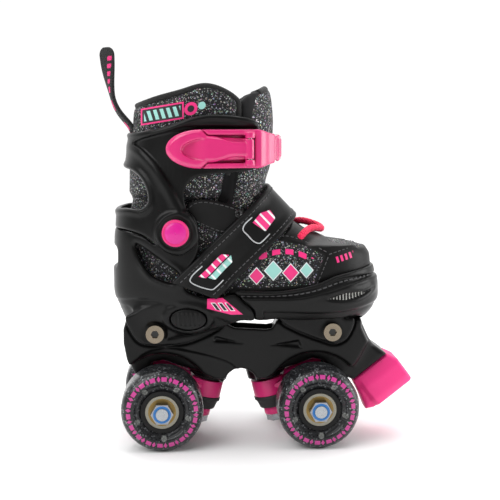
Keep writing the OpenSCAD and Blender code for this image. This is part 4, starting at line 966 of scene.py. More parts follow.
def make_buckle(look):
    m = Mould((-50, -54, 155), (10, -36, 185), 0.42)
    x, z = m.x, m.z
    off = m.skin(BUCKLE_ROWS)
    v = np.abs(z - BUCKLE_RISE)
    leaf = m.outline(LEAF, False)
    crown = 9.7 - 1.3 * ease((leaf + 2.6) / 2.6) - 1.2 * ease((-38 - x) / 12)
    scoop = np.hypot((x + 22) / 16.5, (z - 169.6) / 7.4) - 1
    crown = crown - 3.2 * ease(-scoop / 0.1) * ease((-21 - x) / 12)
    neck = 4.4 + 4.2 * ease((-4 - x) / 17)
    crown = crown - 2.6 * ease((v - neck) / 0.9) * ease((x + 22) / 2) * ease((3.5 - x) / 1.5)
    crown = crown - 0.5 * ease((v - neck + 1.4) / 1.2) * ease((x + 22) / 3)
    blade = both(both(leaf, off - crown, 1.2), 5.35 - off, 0.8)
    blade = less(blade, np.maximum(np.abs(x - 1.7) - 5.2, np.abs(v - 8.9) - 2.0), 0.4)
    pin = np.sqrt((x - LEVER_PIN[0]) ** 2 + (m.y - LEVER_PIN[1]) ** 2)
    blade = either(blade, np.maximum(pin - 2.6, v - 6.3), 1.2)
    made = cast("buckle_lever_leaf", m, less(blade, np.maximum(pin - 1.3, v - 20), 0.3), look("pink_gloss"))
    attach(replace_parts(made, "buckle_lever"), "lever")

    m = Mould((-33, -54, 155), (27, -20, 185), 0.42)
    x, z = m.x, m.z
    off = m.skin(BUCKLE_ROWS)
    v = np.abs(z - BUCKLE_RISE)
    cover = 8.4 - 2.6 * ease((x - 13) / 8)
    tall = 12.4 - 2.8 * ease((x - 11) / 12)
    sheet = both(off - cover, cover - 2.4 - off, 0.6)
    cover = both(both(np.abs(x - 16.25) - 6.95, v - tall, 1.6), sheet, 1.2)
    plate = both(both(np.abs(x + 10.5) - 19, v - 12, 1), np.abs(off - 1.2) - 0.9, 0.6)
    rail = both(np.abs(v - 10.65) - 1.6, np.abs(off - 4.3) - 3.7, 0.6)
    rail = both(rail, np.maximum(-24 - x + (12 - v), x - 11), 0.6)
    pin = np.sqrt((x - LEVER_PIN[0]) ** 2 + (m.y - LEVER_PIN[1]) ** 2)
    eyes = both(pin - 3.1, np.abs(v - 8.8) - 2.0, 0.5)
    body = either(either(plate, rail, 1.2), either(eyes, cover, 0.8), 0.8)
    made = cast("buckle_frame", m, body, look("pink_gloss"))
    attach(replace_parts(made, "buckle_base"), "cuff")

    m = Mould((-28, -47, 157), (34, 47, 183), 0.6)
    x, y, z = m.x, m.y, m.z
    off = m.skin(np.array([[rise, -80, 25, -27, BUCKLE_LINE[3]] for rise in (100, 240)]), 2.8)
    v = np.abs(z - BUCKLE_RISE)
    near = np.where(y < 0, 1.0, 0.0)
    ends = np.where(y < 0, 9.6 - x, -21 - x)
    half = 8.6 - 0.5 * near
    teeth = 0.6 * np.abs(np.sin(y * np.pi / 3.6)) * ease((x - 18) / 4) * ease((6.5 - v) / 1.0)
    band = both(both(np.abs(off - 3.0 - 0.5 * teeth) - 1.25 - 0.5 * teeth, v - half, 0.9), ends, 0.9)
    lip = np.maximum(np.abs(x - 24.6) - 2.0, np.abs(y + 17) - 6)
    lip = both(lip, both(v - 8.8, np.abs(off - 4.2) - 1.0, 0.6), 0.8)
    made = cast("ladder_strap_band", m, either(band, lip, 0.8), look("pink_gloss"))
    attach(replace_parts(made, "ladder_strap"), "cuff")


# Soft boot
SPLIT = ((-17, 66), (40, 124))
PANEL = [(-2.5, 78.7), (14.6, 78.5), (33.1, 79.7), (48.8, 80.7), (56, 99.5), (43, 106.1), (25.4, 109.8)]


def leather_zone(x, y, z):
    """Distance outside the upper's smooth leather: ahead of the split, round the side and toe-top panels."""
    side = outside(x, z, PANEL)
    top = biggest(abs(x - 73.5) - 12.5, abs(y) - 18, 103.5 - z)
    return biggest(-beyond(x, z, *SPLIT), -side, -top)


UPPER_EDGE = [
    (-92, 69.6), (-92, 118), (-74, 120), (-66, 128), (-56, 133), (-40, 135), (-24, 133), (-12, 126),
    (-2, 117), (8, 114), (20, 122), (34, 125), (60, 122), (110, 116), (110, 69.6),
]
STAY_EDGE = [
    (-39, 119), (-38, 130), (-27, 137), (-6, 133.5), (6, 127.5), (14, 118), (-10, 113.5), (-31, 122),
]
STAY_STUD = (-0.3, 127.5)
STITCH_STEP = 0.8
STAY_SEAMS = (
    [(-36, 126), (-31, 124), (-10, 115.8), (8, 119.5)],
    [(-36.5, 129), (-27, 135), (-6, 131.6), (4, 127)],
)
VAMP_SEAMS = (
    [(-6, 81), (25, 112), (44, 108.2), (58, 101.5)],
    [(59, 99.5), (50.5, 79.5)],
    [(58, 99.8), (71, 103.0), (82, 104.4)],
)


def make_upper(look):
    m = Mould((-84, -40, 68), (96, 40, 138), 1.0)
    x, y, z = m.x, m.y, m.z
    plain = m.skin(BOOT_ROWS)
    zone = leather_zone(x, np.abs(y), z)
    skin = plain - 0.9 * ease(-zone / 1.0)
    crease = np.sin((x * 0.55 - z * 0.35) * 0.9 + 2 * np.sin(y * 0.12))
    crease = crease * np.exp(-(((x - 47) / 8) ** 2)) * ease((z - 96) / 8)
    skin = skin + 0.35 * crease
    throat = both(np.abs(y) - 9 - 0.35 * np.maximum(20 - x, 0), both(104 - z, x - 50, 3), 3)
    sunk = 2.0 * ease(-throat / 1.4)
    wall = both(skin + sunk, -(plain + 2.6 + sunk), 1.2)
    wall = both(wall, m.outline(UPPER_EDGE, False), 1.6)
    made = cast("boot_upper", m, wall, look("upper"))
    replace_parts(made, "quarter", "vamp")
    tuple(placed((8, 0, 98)))
    tuple(placed((20, 0, 86)))
    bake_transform(made)

    m = Mould((-42, -38, 108), (20, 38, 142), 0.8)
    plain = m.skin(BOOT_ROWS)
    flap = both(both(np.abs(plain - 0.9) - 0.75, m.outline(STAY_EDGE), 0.9), 16 - np.abs(m.y), 0.9)
    made = cast("eyestay_flaps", m, flap, look("leather"))
    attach(made, "base")
    threads = side_stitches(
        [even(curve(route, False, 8), STITCH_STEP) for route in STAY_SEAMS],
        lambda x, z: half_width(BOOT_ROWS, x, z, 1.75),
    )
    made = add_mesh("eyestay_stitching", *threads, look("dull_thread"))
    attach(made, "base")
    ring = [(0.3, -1.2), (0.3, 0.7), (1.2, 0.8), (1.6, 1.2), (2.2, 1.5), (2.9, 1.2), (3.3, 0.4), (3.4, -1.2)]
    for side, name in ((-1, "near"), (1, "far")):
        at = (STAY_STUD[0], side * float(half_width(BOOT_ROWS, *STAY_STUD, 1.6)), STAY_STUD[1])
        made = lathe(f"eyestay_eyelet_{name}", ring, at, (0.12, side, 0.1), look("gloss_black"), 48)
        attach(made, "base")

    threads = side_stitches(
        [even(curve(route, False, 8), STITCH_STEP) for route in VAMP_SEAMS],
        lambda x, z: half_width(BOOT_ROWS, x, z, 0.95), (0.9, 0.4),
    )
    made = add_mesh("vamp_stitching", *threads, look("dull_thread"))
    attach(made, "toe")


PUFF_FRAMES = 20


def puff(made, cap, pressure=4.0):
    """Fills a padded piece with a short cloth simulation, with the movement held to a cap in mm."""
    start = np.empty(len(made.data.vertices) * 3, np.float32)
    made.data.vertices.foreach_get("co", start)
    scene = bpy.context.scene
    scene.frame_start, scene.frame_end = 1, PUFF_FRAMES
    scene.gravity = (0, 0, 0)
    cloth_sim = made.modifiers.new("padding", "CLOTH")
    settings = cloth_sim.settings
    settings.use_pressure = True
    settings.uniform_pressure_force = pressure
    settings.tension_stiffness = settings.compression_stiffness = 12
    settings.bending_stiffness = 0.6
    settings.effector_weights.gravity = 0
    cloth_sim.point_cache.frame_start, cloth_sim.point_cache.frame_end = 1, PUFF_FRAMES
    for step in range(1, PUFF_FRAMES + 1):
        scene.frame_set(step)
    shown = made.evaluated_get(bpy.context.evaluated_depsgraph_get())
    moved = np.empty(len(start), np.float32)
    shown.data.vertices.foreach_get("co", moved)
    made.modifiers.remove(cloth_sim)
    shift = (moved - start).reshape(-1, 3)
    size = np.linalg.norm(shift, axis=1)[:, None]
    shift *= np.minimum(1, cap * MM / np.maximum(size, 1e-9))
    made.data.vertices.foreach_set("co", (start.reshape(-1, 3) + shift).ravel())
    made.data.update()
    scene.frame_set(1)
    soft = made.modifiers.new("soft", "SUBSURF")
    soft.levels = soft.render_levels = 1
    with bpy.context.temp_override(object=made, active_object=made, selected_objects=[made]):
        bpy.ops.object.modifier_apply(modifier=soft.name)
    points = np.empty(len(made.data.vertices) * 3, np.float32)
    made.data.vertices.foreach_get("co", points)
    made.data.attributes["rest"].data.foreach_set("vector", points / MM)
    return made


COLLAR_FRONT = [(-12, 118), (-12, 134), (-9, 150), (-4, 170), (-1, 188), (-0.5, 201)]


TONGUE_EDGE = [
    (-16, 197), (-6, 200), (2, 203.2), (9, 207), (18, 209.2), (30, 208.6), (40, 104), (12, 104), (-6, 118),
    (-18, 130), (-18, 165),
]


def lined(made, rows, depth):
    """Gives the faces inside a skin the second finish."""
    middle_of = np.empty(len(made.data.polygons) * 3, np.float32)
    made.data.polygons.foreach_get("center", middle_of)
    deep = depth_in(rows, middle_of.reshape(-1, 3).astype(float) / MM) < depth
    made.data.polygons.foreach_set("material_index", deep.astype(np.int32))
    made.data.update()


def make_collar(look):
    m = Mould((-84, -42, 112), (6, 42, 220), 2.6)
    plain = m.skin(BOOT_ROWS)
    inset = 3.2 * ease((141 - m.z) / 6)
    wall = both(plain + inset, -(plain + 8), 3.2)
    route = curve(COLLAR_TOP, False, 6)[::-1]
    edge = np.concatenate([[(-95, 118), (-95, 198)], route, COLLAR_FRONT[-2::-1]])
    wall = both(wall, m.outline(edge, False), 4)
    made = puff(cast("ankle_collar_padding", m, wall, [look("collar"), look("lining")]), 1.0)
    lined(made, BOOT_ROWS, -5.0)
    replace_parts(made, "ankle_collar")
    tuple(placed((-42, 0, 120)))
    tuple(placed((-42, 0, 142)))
    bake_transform(made)
    p = np.concatenate([route, curve(COLLAR_FRONT, False, 6)[::-1][3:18]])
    wide = half_width(BOOT_ROWS, p[:, 0], p[:, 1], -2.4)
    far, near = (np.stack([p[:, 0], side * wide, p[:, 1] - 0.4], 1) for side in (1, -1))
    back = float(levels(BOOT_ROWS, np.array(198.0))[0]) + 2.4
    whole = np.concatenate([far[::-1], [(back, 0, 197.6)], near])
    whole = even(curve(even(whole, 4), False, 3), 1.6)
    made = add_mesh("collar_binding", *sweep(tube(whole, 1.9, 12, 1.1)), look("binding"))
    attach(made, "cuff")

    m = Mould((-24, -38, 100), (32, 38, 218), 2.4)
    tuck = 8.6 * ease((5 - m.x + 0.1 * (m.z - 200)) / 7)
    tuck = tuck + 5.0 * ease((131 - m.z) / 9)
    skin = m.skin(BOOT_ROWS) + tuck
    wall = both(skin, -(skin + 6.5 - 0.25 * tuck), 2.6)
    wall = both(wall, m.outline(TONGUE_EDGE), 3.5)
    made = puff(cast("tongue_padding", m, wall, [look("tongue"), look("lining")]), 1.0)
    lined(made, BOOT_ROWS, -4.6)
    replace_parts(made, "tongue")
    tuple(placed((-42, 0, 118)))
    tuple(placed((-42, 0, 142)))
    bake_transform(made)
    y = np.linspace(-22, 22, 45)
    top = 208.2 - 0.006 * y * y
    _, front, mid, half = levels(BOOT_ROWS, top)
    fx = mid + (front - mid) * np.maximum(1 - (np.abs(y) / half) ** SHAPE, 0) ** (1 / SHAPE) - 3.2
    route = np.stack([fx, y, top], 1)
    made = add_mesh("tongue_binding", *sweep(tube(route, 2.4, 12, 1.2)), look("binding"))
    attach(made, "cuff")


# Strap over the instep
STRAP_SLOPE = math.radians(43.5)
STRAP_FOOT = (-30, 78)
STRAP_LEG, STRAP_HALF, STRAP_RISE = 26, 35.6, 55.35
STRAP_SECTION = [
    (-14, 0.5), (-13.8, 1.8), (-13.1, 2.4), (-11.3, 2.4), (-10.8, 2.0), (-5, 2.0), (0, 2.05), (5, 2.0),
    (10.8, 2.0), (11.3, 2.4), (13.1, 2.4), (13.8, 1.8), (14, 0.5), (13.4, 0.1), (0, 0.1), (-13.4, 0.1),
]


def bow(c):
    """A sine or cosine squared off for the strap's bow."""
    return math.copysign(abs(c) ** (2 / 3), c)


def strap_place(p, w, y):
    """Point p up the strap's slope and w across it, at y."""
    c, s = math.cos(STRAP_SLOPE), math.sin(STRAP_SLOPE)
    return (STRAP_FOOT[0] + p * c - w * s, y, STRAP_FOOT[1] + p * s + w * c)


def strap_point(p, w, side, grow):
    """Point on one side of the strap, grown outwards; the feet lie over the heel shell."""
    x, _, z = strap_place(p, w, 0)
    if p <= STRAP_LEG:
        shell = float(half_width(HEEL_ROWS, x, z)) + 0.5
        y = STRAP_HALF + (shell - STRAP_HALF) * float(ease(np.array((STRAP_LEG - p) / 10))) + grow
    else:
        y = (STRAP_HALF + grow) * max(1 - ((p - STRAP_LEG) / (STRAP_RISE + grow)) ** 3, 0) ** (1 / 3)
    return (x, side * y, z)


def strap_run(w, grow, ease_in=0.0):
    """Points along the strap at one place across its width, from near foot to far foot."""
    start = -0.1 - 0.495 * w + ease_in
    leg = [start + (STRAP_LEG - start) * k / 24 for k in range(24)]
    points = [strap_point(p, w, -1, grow) for p in leg]
    for a in np.radians(np.linspace(-90, 90, 61)):
        p, y = STRAP_LEG + (STRAP_RISE + grow) * bow(math.cos(a)), (STRAP_HALF + grow) * bow(math.sin(a))
        points.append(strap_place(p, w, y))
    points += [strap_point(p, w, 1, grow) for p in leg[::-1]]
    return np.array(points)


def make_strap(look):
    runs = [strap_run(w, h) for w, h in STRAP_SECTION]
    rings = [np.array([r[i] for r in runs]) for i in range(len(runs[0]))]
    points, faces = sweep(rings)
    made = add_mesh("instep_strap_band", points, [f[::-1] for f in faces], look("leather"))
    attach(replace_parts(made, "instep_strap"), "base")
    lines = []
    for w in (-10.2, 10.2):
        p = even(strap_run(w, 2.05, 1.0), STITCH_STEP)
        inner = even(strap_run(w, 0.0, 1.0), STITCH_STEP)
        share, known = np.linspace(0, 1, len(p)), np.linspace(0, 1, len(inner))
        out = p - np.stack([np.interp(share, known, inner[:, k]) for k in range(3)], 1)
        out /= np.maximum(np.linalg.norm(out, axis=1), 1e-6)[:, None]
        lines.append(stitches(p, out))
    made = add_mesh("strap_stitching", *joined(lines), look("dull_thread"))
    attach(made, "base")
    loops = []
    for corners in (
        [(15, 8.2), (6, 8.2), (2.6, 6.8), (2.8, 3.8), (7.0, -4.6), (9.4, -7.4), (12.4, -7.8), (18.5, -7.8)],
        [(60, 8.2), (53, 8.2), (50.2, 6.4), (50, 2), (50.2, -4.4), (52, -7.4), (54, -7.8), (61, -7.8)],
    ):
        path = even(curve(corners, False, 8), 0.7)
        loops.append(sweep(tube(np.array([strap_point(p, w, -1, 2.2) for p, w in path]), 0.42, 6)))
    made = add_mesh("strap_trim_lines", *joined(loops), look("silver_thread"))
    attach(made, "base")
    for name, corners, finish in (
        ("strap_patch_pink", [(8.6, 4.9), (29, 4.9), (32.6, 0.9), (11.2, 0.9)], "label_pink"),
        ("strap_patch_mint", [(12.6, 0.1), (33.3, 0.1), (30.6, -3.9), (14.8, -3.9)], "label_mint"),
        ("strap_patch_upper", [(58, 5.4), (66, 6.2), (72, 3.0), (71, -3.2), (60, -4.6)], "label_pink"),
    ):
        edge = np.array(corners, float)
        mid = edge.mean(0)
        ring = even(np.concatenate([edge, edge[:1]]), 1.2)[:-1]
        rings = [
            np.array([strap_point(*(mid + (p - mid) * k), -1, grow) for p in ring])
            for k, grow in ((1.0, 1.9), (1.0, 2.45), (0.95, 2.6), (0.7, 2.6), (0.4, 2.6), (0.05, 2.6))
        ]
        made = add_mesh(name, *sweep(rings), look(finish))
        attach(made, "base")


LACE_SIDES = 20
DASHES = ((2, 10), (18, 26), (30, 35), (36, 40), (41, 45), (46, 50), (51, 55))


def make_cords(look):
    route = even(curve(LACE_ROUTE, False, 8), 0.9)
    rings = tube(route, 2.3, LACE_SIDES)
    for i, ring in enumerate(rings):
        a = np.arange(LACE_SIDES) / LACE_SIDES * 2 * np.pi
        swell = 1 + 0.09 * np.sin(4 * a + i * 1.1) * np.sin(4 * a - i * 1.1)
        rings[i] = route[i] + (ring - route[i]) * swell[:, None]
    made = add_mesh("lace_cord", *sweep(rings), look("lace"))
    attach(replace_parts(made, "lace"), "toe")
    path = [tuple(p) for p in placed(route)]
    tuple(path[0])

    path = even(curve(LOOP_ROUTE, False, 8), 1.0)
    turns, n = [], len(path)
    for i in range(n):
        t = path[min(i + 1, n - 1)] - path[max(i - 1, 0)]
        t /= np.linalg.norm(t)
        share = i / (n - 1)
        turn = math.radians(52) * ease(np.array((share - 0.4) / 0.55)) + math.radians(14) * (1 - share)
        side = np.array((0, math.cos(turn), 0)) + np.cross(t, (0, 1, 0)) * math.sin(turn)
        turns.append((side, np.cross(t, side)))
    wide, thick = 6.0, 1.3
    section = [
        (-wide, -0.5), (-wide + 0.6, -1), (wide - 0.6, -1), (wide, -0.5), (wide, -0.1), (wide - 0.5, 0),
        (wide, 0.1), (wide, 0.5), (wide - 0.6, 1), (-wide + 0.6, 1), (-wide, 0.5), (-wide, 0.1),
        (-wide + 0.5, 0), (-wide, -0.1),
    ]
    rings = []
    for i, (side, up) in enumerate(turns):
        narrow = math.sqrt(max(1 - max((i - n + 6) / 5.3, 0) ** 2, 0.05))
        rings.append(np.array([path[i] + side * a * narrow + up * b * thick for a, b in section]))
    made = add_mesh("pull_loop_webbing", *sweep(rings), look("webbing"))
    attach(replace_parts(made, "pull_loop"), "cuff")
    dashes = []
    outline = ((-1, -0.9), (-0.8, -1), (0.8, -1), (1, -0.9), (1, 0.9), (0.8, 1), (-0.8, 1), (-1, 0.9))
    for start, stop in DASHES:
        rings = []
        for i in range(start, stop):
            side, up = turns[i]
            wide = 2.1 * math.sin(math.pi * (i - start + 1) / (stop - start + 1)) ** 0.4
            shift = 2.4 - 6.4 * i / (n - 1)
            rings.append(np.array([path[i] + side * (a * wide + shift) + up * b * 1.5 for a, b in outline]))
        dashes.append(sweep(rings))
    made = add_mesh("pull_loop_dashes", *joined(dashes), look("pink_thread"))
    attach(made, "cuff")


# Running gear
WHEELS = ("rear_left", "rear_right", "front_left", "front_right")
TYRE_HALF = [
    (13.95, 14.2), (16.6, 14.0), (17.6, 14.6), (18.4, 15.6), (19.4, 15.95), (21, 16), (22.8, 15.6),
    (24.4, 14.6), (25.7, 13.1), (26.6, 11.2), (26.95, 9), (27, 5),
]
LOWER_CUSHION = [
    (4.3, -14.4), (9.6, -14.4), (10.1, -13.9), (10.9, -10.5), (11.4, -8.6), (12.4, -8.1), (12.5, -6.2),
    (11.9, -5.6), (4.3, -5.6),
]
UPPER_CUSHION = [(4.3, 5.6), (8.8, 5.6), (9.4, 6.2), (9.5, 8), (9.4, 10.2), (8.8, 10.9), (4.3, 10.9)]
LOWER_BUSH = [(4.3, -19.9), (7.4, -19.9), (7.9, -19.3), (8, -17), (7.9, -15.1), (7.4, -14.5), (4.3, -14.5)]


def make_wheels(look):
    profile = [(r, -a) for r, a in TYRE_HALF] + TYRE_HALF[::-1]
    for name in WHEELS:
        at = (np.array(middle(f"tyre_{name}")) - ORIGIN) / MM
        made = lathe(f"tyre_{name}_moulding", profile, at, (0, 1, 0), look("urethane"), 128)
        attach(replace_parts(made, f"tyre_{name}"), f"wheel_{name}")
    for end, name in ((-1, "rear"), (1, "front")):
        start, axis = (np.array(v) for v in kingpin(end))
        for kind, profile in (("lower", LOWER_CUSHION), ("upper", UPPER_CUSHION)):
            made = lathe(f"{name}_{kind}_cushion_moulding", profile, start, axis, look("dark_rubber"), 64)
            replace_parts(made, f"{name}_{kind}_cushion")
            ends = (profile[0][1], profile[-1][1]) if kind == "lower" else (profile[-1][1], profile[0][1])
            [tuple(placed(start + axis * a)) for a in ends]
            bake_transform(made)
        made = lathe(f"{name}_lower_bush_moulding", LOWER_BUSH, start, axis, look("pink_plastic"), 64)
        if end < 0:
            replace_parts(made, "lower_bushes")
        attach(made, "base")


def make_insole(look):
    m = Mould((-80, -36, 68), (6, 36, 76), 1.2)
    skin = m.skin(BOOT_ROWS)
    top = 72.6 + 1.0 * ease((np.abs(m.y) - 16) / 12) + 0.8 * ease((-50 - m.x) / 20)
    pad = both(both(skin + 3.2, m.z - top, 1.6), both(69.2 - m.z, m.x - 2, 1.2), 1.2)
    made = puff(cast("insole_padding", m, pad, look("lining")), 0.5, 1.0)
    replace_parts(made, "footbed")
    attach(made, "base")


HARDWARE = {
    "pink_cad": ("rear_hanger", "front_hanger"),
    "black_cad": (*[f"hub_{name}" for name in WHEELS], "pivot_bushes", "eyelets"),
    "bearing_steel": [f"bearings_{name}" for name in WHEELS],
    "nut_steel": ("rear_axle_nuts", "front_axle_nuts"),
    "bolt_zinc": ("chassis_bolts",),
    "rubber_cad": ("pivot_cups",),
    "steel": (
        "cross_sleeves", "toe_stop_screw", "kingpins", "kingpin_nuts", "rear_axle", "front_axle",
        "rear_spacers", "front_spacers", "pivot_pins", "strap_rivet", "buckle_rivets", "buckle_pin",
        "ladder_rivet", "size_rail",
    ),
}


def make_hardware(look):
    for finish, nodes in HARDWARE.items():
        for node in nodes:
            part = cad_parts[node]
            part.data.materials.clear()
            part.data.materials.append(look(finish))
            part.modifiers.new("weld", "WELD").merge_threshold = 0.00002
            bevel = part.modifiers.new("edge", "BEVEL")
            bevel.width, bevel.segments = (0.0012, 3) if "hanger" in node else (0.00025, 2)
            bevel.limit_method = "ANGLE"
            bevel.angle_limit = math.radians(34)
            bevel.harden_normals = False


# Settings and finishes
class SkateColours(bpy.types.PropertyGroup):
    """Colours of the skate's finishes."""

    shell: bpy.props.FloatVectorProperty(
        name="Shell", description="Shells, cuff and chassis",
        default=(0.004, 0.004, 0.004), size=3, subtype="COLOR",
    )
    accent: bpy.props.FloatVectorProperty(
        name="Accent", description="Buckle, caps, toe stop and trucks",
        default=(0.80, 0.022, 0.20), size=3, subtype="COLOR",
    )
    second: bpy.props.FloatVectorProperty(
        name="Second accent", description="Print and labels",
        default=(0.30, 0.62, 0.56), size=3, subtype="COLOR",
    )
    lace: bpy.props.FloatVectorProperty(
        name="Lace", description="Lace cord",
        default=(1.0, 0.004, 0.09), size=3, subtype="COLOR",
    )
    cloth: bpy.props.FloatVectorProperty(
        name="Cloth", description="Glitter cloth under its flakes",
        default=(0.004, 0.004, 0.005), size=3, subtype="COLOR",
    )
    leather: bpy.props.FloatVectorProperty(
        name="Leather", description="Coated leather of the vamp and strap",
        default=(0.004, 0.004, 0.004), size=3, subtype="COLOR",
    )
    tyre: bpy.props.FloatVectorProperty(
        name="Tyre", description="Urethane of the wheels",
        default=(0.010, 0.0105, 0.012), size=3, subtype="COLOR",
    )


class SkateSizes(bpy.types.PropertyGroup):
    """Sizes of the stage round the skate."""

    floor: bpy.props.FloatProperty(
        name="Floor", description="Side of the floor sheet", default=2.6, unit="LENGTH"
    )
    lens: bpy.props.FloatProperty(
        name="Lens", description="Focal length of the camera in mm", default=81.005
    )
    key: bpy.props.FloatProperty(
        name="Key light", description="Power of the key light in watts", default=19.0
    )
    top: bpy.props.FloatProperty(
        name="Top light", description="Power of the overhead light in watts", default=10.0
    )
    front: bpy.props.FloatProperty(
        name="Front light", description="Strength of the light from the camera's side", default=0.25
    )


def disc(x, z, at, r):
    """Distance outside a disc."""
    return ((x - at[0]) ** 2 + (z - at[1]) ** 2) ** 0.5 - r


def kite(x, z, at, w, h):
    """Distance outside a kite."""
    return abs(x - at[0]) / w + abs(z - at[1]) / h - 1


INK_DARK = (0.012, 0.012, 0.014)
INK_WHITE = (0.72, 0.74, 0.75)


def printed(f, shader, shapes):
    """Lays printed shapes, as (distance, colour), over a shader on the near side."""
    side = f.xyz()[1] < 0
    for d, colour in shapes:
        ink = f.surface(base_color=rgb(colour), roughness=0.42)
        shader = f.layer((d < 0) * side, shader, ink)
    return shader


def sticker_finish(c):
    """Black plastic with a barred sticker near the heel."""
    f = Finish("sticker_plastic")
    shell = plastic_surface(f, c.shell, 0.3, specular_ior_level=0.2)
    x, _, z = f.xyz()
    edge = outside(x, z, [(-21.8, 66.2), (-6, 61.9), (1.6, 62), (-11.6, 73.2), (-21.6, 72.6)])
    bars = smallest(*[
        biggest(abs(x + z * 0.75 - at) - 1.5, abs(z - 67.2) - 2.8) for at in (34.5, 39, 43.5)
    ])
    return f.done(printed(f, shell, [
        (edge, c.accent), (biggest(bars, edge + 0.8), (0.75, 0.75, 0.76)),
        (biggest(bars + 0.5, edge + 0.8), (0.01, 0.01, 0.012)),
    ]))


def toe_finish(c):
    """Black plastic with pale bars in the vent."""
    f = Finish("toe_plastic")
    x, _, z = f.xyz()
    vent = outside(x, z, [(59, 71.4), (70, 70.2), (84, 73.4), (82, 75), (70, 74.8)])
    bars = (abs((x / 2.2).math("FRACT") - 0.5) > 0.3) * (vent < 0)
    marks = (bars, (0.30, 0.30, 0.28, 1))
    return f.done(plastic_surface(f, c.shell, 0.3, marks=marks, specular_ior_level=0.2))


def upper_finish(c):
    """Glitter panels in smooth leather, with a print of kites, dashes and bars."""
    f = Finish("upper")
    x, y, z = f.xyz()
    zone = leather_zone(x, abs(y), z)
    cover = f.layer(zone < 0, glitter_surface(f, c.cloth, 0.83), leather_surface(f, c.leather))
    shapes = []
    for at, w, h, colour in (
        ((11, 86.5), 4.6, 5.2, c.accent), ((22, 90), 5.4, 6, c.second),
        ((33.5, 88.5), 5, 5.6, c.accent), ((44, 90), 4, 4.6, c.second),
    ):
        for rim, ink in ((1.6, INK_DARK), (0.8, INK_WHITE), (0, colour)):
            shapes.append((kite(x, z, at, w + rim, h + rim), ink))
    ring = abs(disc(x, z, (29, 70), 32.5)) - 1.7
    dashes = biggest(ring, ((x * 0.72).math("SINE")) - 0.35, 97.5 - z)
    bars = biggest(
        abs(z - x * 0.26 - 79.6) - 2.1, abs(x - 70) - 6.4,
        abs(((x + z * 0.3) / 3.3).math("FRACT") - 0.5) - 0.27,
    )
    return f.done(printed(f, cover, shapes + [(dashes, c.accent), (bars, c.accent)]))


def collar_finish(c, name, badge):
    """Glitter cloth, with a barred badge and discs or with a dark rim."""
    f = Finish(name)
    shader = glitter_surface(f, c.cloth, 0.81 if badge else 0.72)
    x, _, z = f.xyz()
    if badge:
        tilt = z - x * 0.16
        pill = biggest(abs(x + 50) - 13, abs(tilt - 200.4) - 4.4)
        rim = biggest(abs(x + 50) - 14, abs(tilt - 200.4) - 5.4)
        bars = biggest(pill + 1.2, abs(((x + tilt * 0.3) / 4.2).math("FRACT") - 0.5) - 0.27)
        shader = printed(f, shader, [
            (rim, c.accent), (pill, INK_DARK), (bars, c.second),
            (disc(x, tilt, (-31.5, 200.6), 4.2), c.accent), (disc(x, tilt, (-31.5, 200.6), 2.2), INK_DARK),
            (disc(x, tilt, (-24.4, 201.5), 2.4), c.second),
        ])
    else:
        rim = biggest(8.4 + (z - 191.2) * 0.229 - x, z - 204.3 - (x - 11.4) * 0.33)
        dark = f.surface(base_color=rgb([v * 0.9 for v in c.cloth]), roughness=0.85)
        shader = f.layer(rim > 0, shader, dark)
    return f.done(shader)


def cap_finish(c):
    """Deep magenta dome in a paler rim."""
    f = Finish("cap_pink")
    x, _, z = f.xyz()
    r = (x * x + z * z) ** 0.5
    worn = f.noise(0.4, 3)
    deep = f.mix(worn, (0.60, 0.006, 0.24, 1), (0.68, 0.008, 0.27, 1))
    return f.done(f.surface(
        base_color=f.mix(r > 7.0, deep, rgb([v * 0.9 for v in c.accent])), roughness=0.3 + worn * 0.08,
        normal=f.bump(f.noise(1.9, 2), 0.05),
    ))


def leather_finish(c):
    f = Finish("leather")
    return f.done(leather_surface(f, c.leather))


def label_finish(name, colour):
    """Woven label with pale bars."""
    f = Finish(name)
    x, _, z = f.xyz()
    weave = ((x + z) * 5.5).math("SINE") * ((x - z) * 5.5).math("SINE")
    bars = abs(((x * 0.72 + z * 0.69) / 5).math("FRACT") - 0.5) < 0.13
    shade = f.mix(bars, rgb(colour), (0.8, 0.82, 0.82, 1))
    return f.done(f.surface(base_color=shade, roughness=0.5, normal=f.bump(weave, 0.3)))


def webbing_finish(name, low, high):
    """Ribbed tape between two shades."""
    f = Finish(name)
    _, y, z = f.xyz()
    rib = (z * 6.0).math("SINE")
    return f.done(f.surface(
        base_color=f.mix(f.noise(0.3, 3), rgb(low), rgb(high)), roughness=0.8,
        normal=f.bump(rib + (y * 5.0).math("SINE") * 0.6, 0.55, 0.0004),
    ))


def lace_finish(c):
    """Braided cord."""
    f = Finish("lace")
    x, y, z = f.xyz()
    braid = ((x + z) * 2.6).math("SINE") * ((y - z) * 2.6).math("SINE")
    return f.done(f.surface(
        base_color=f.shades(braid * 0.5 + 0.5, c.lace, 0.75, 1), roughness=0.7, sheen_weight=0.1,
        normal=f.bump(braid, 0.6, 0.0005),
    ))


PRINT_RADIUS = 22.0


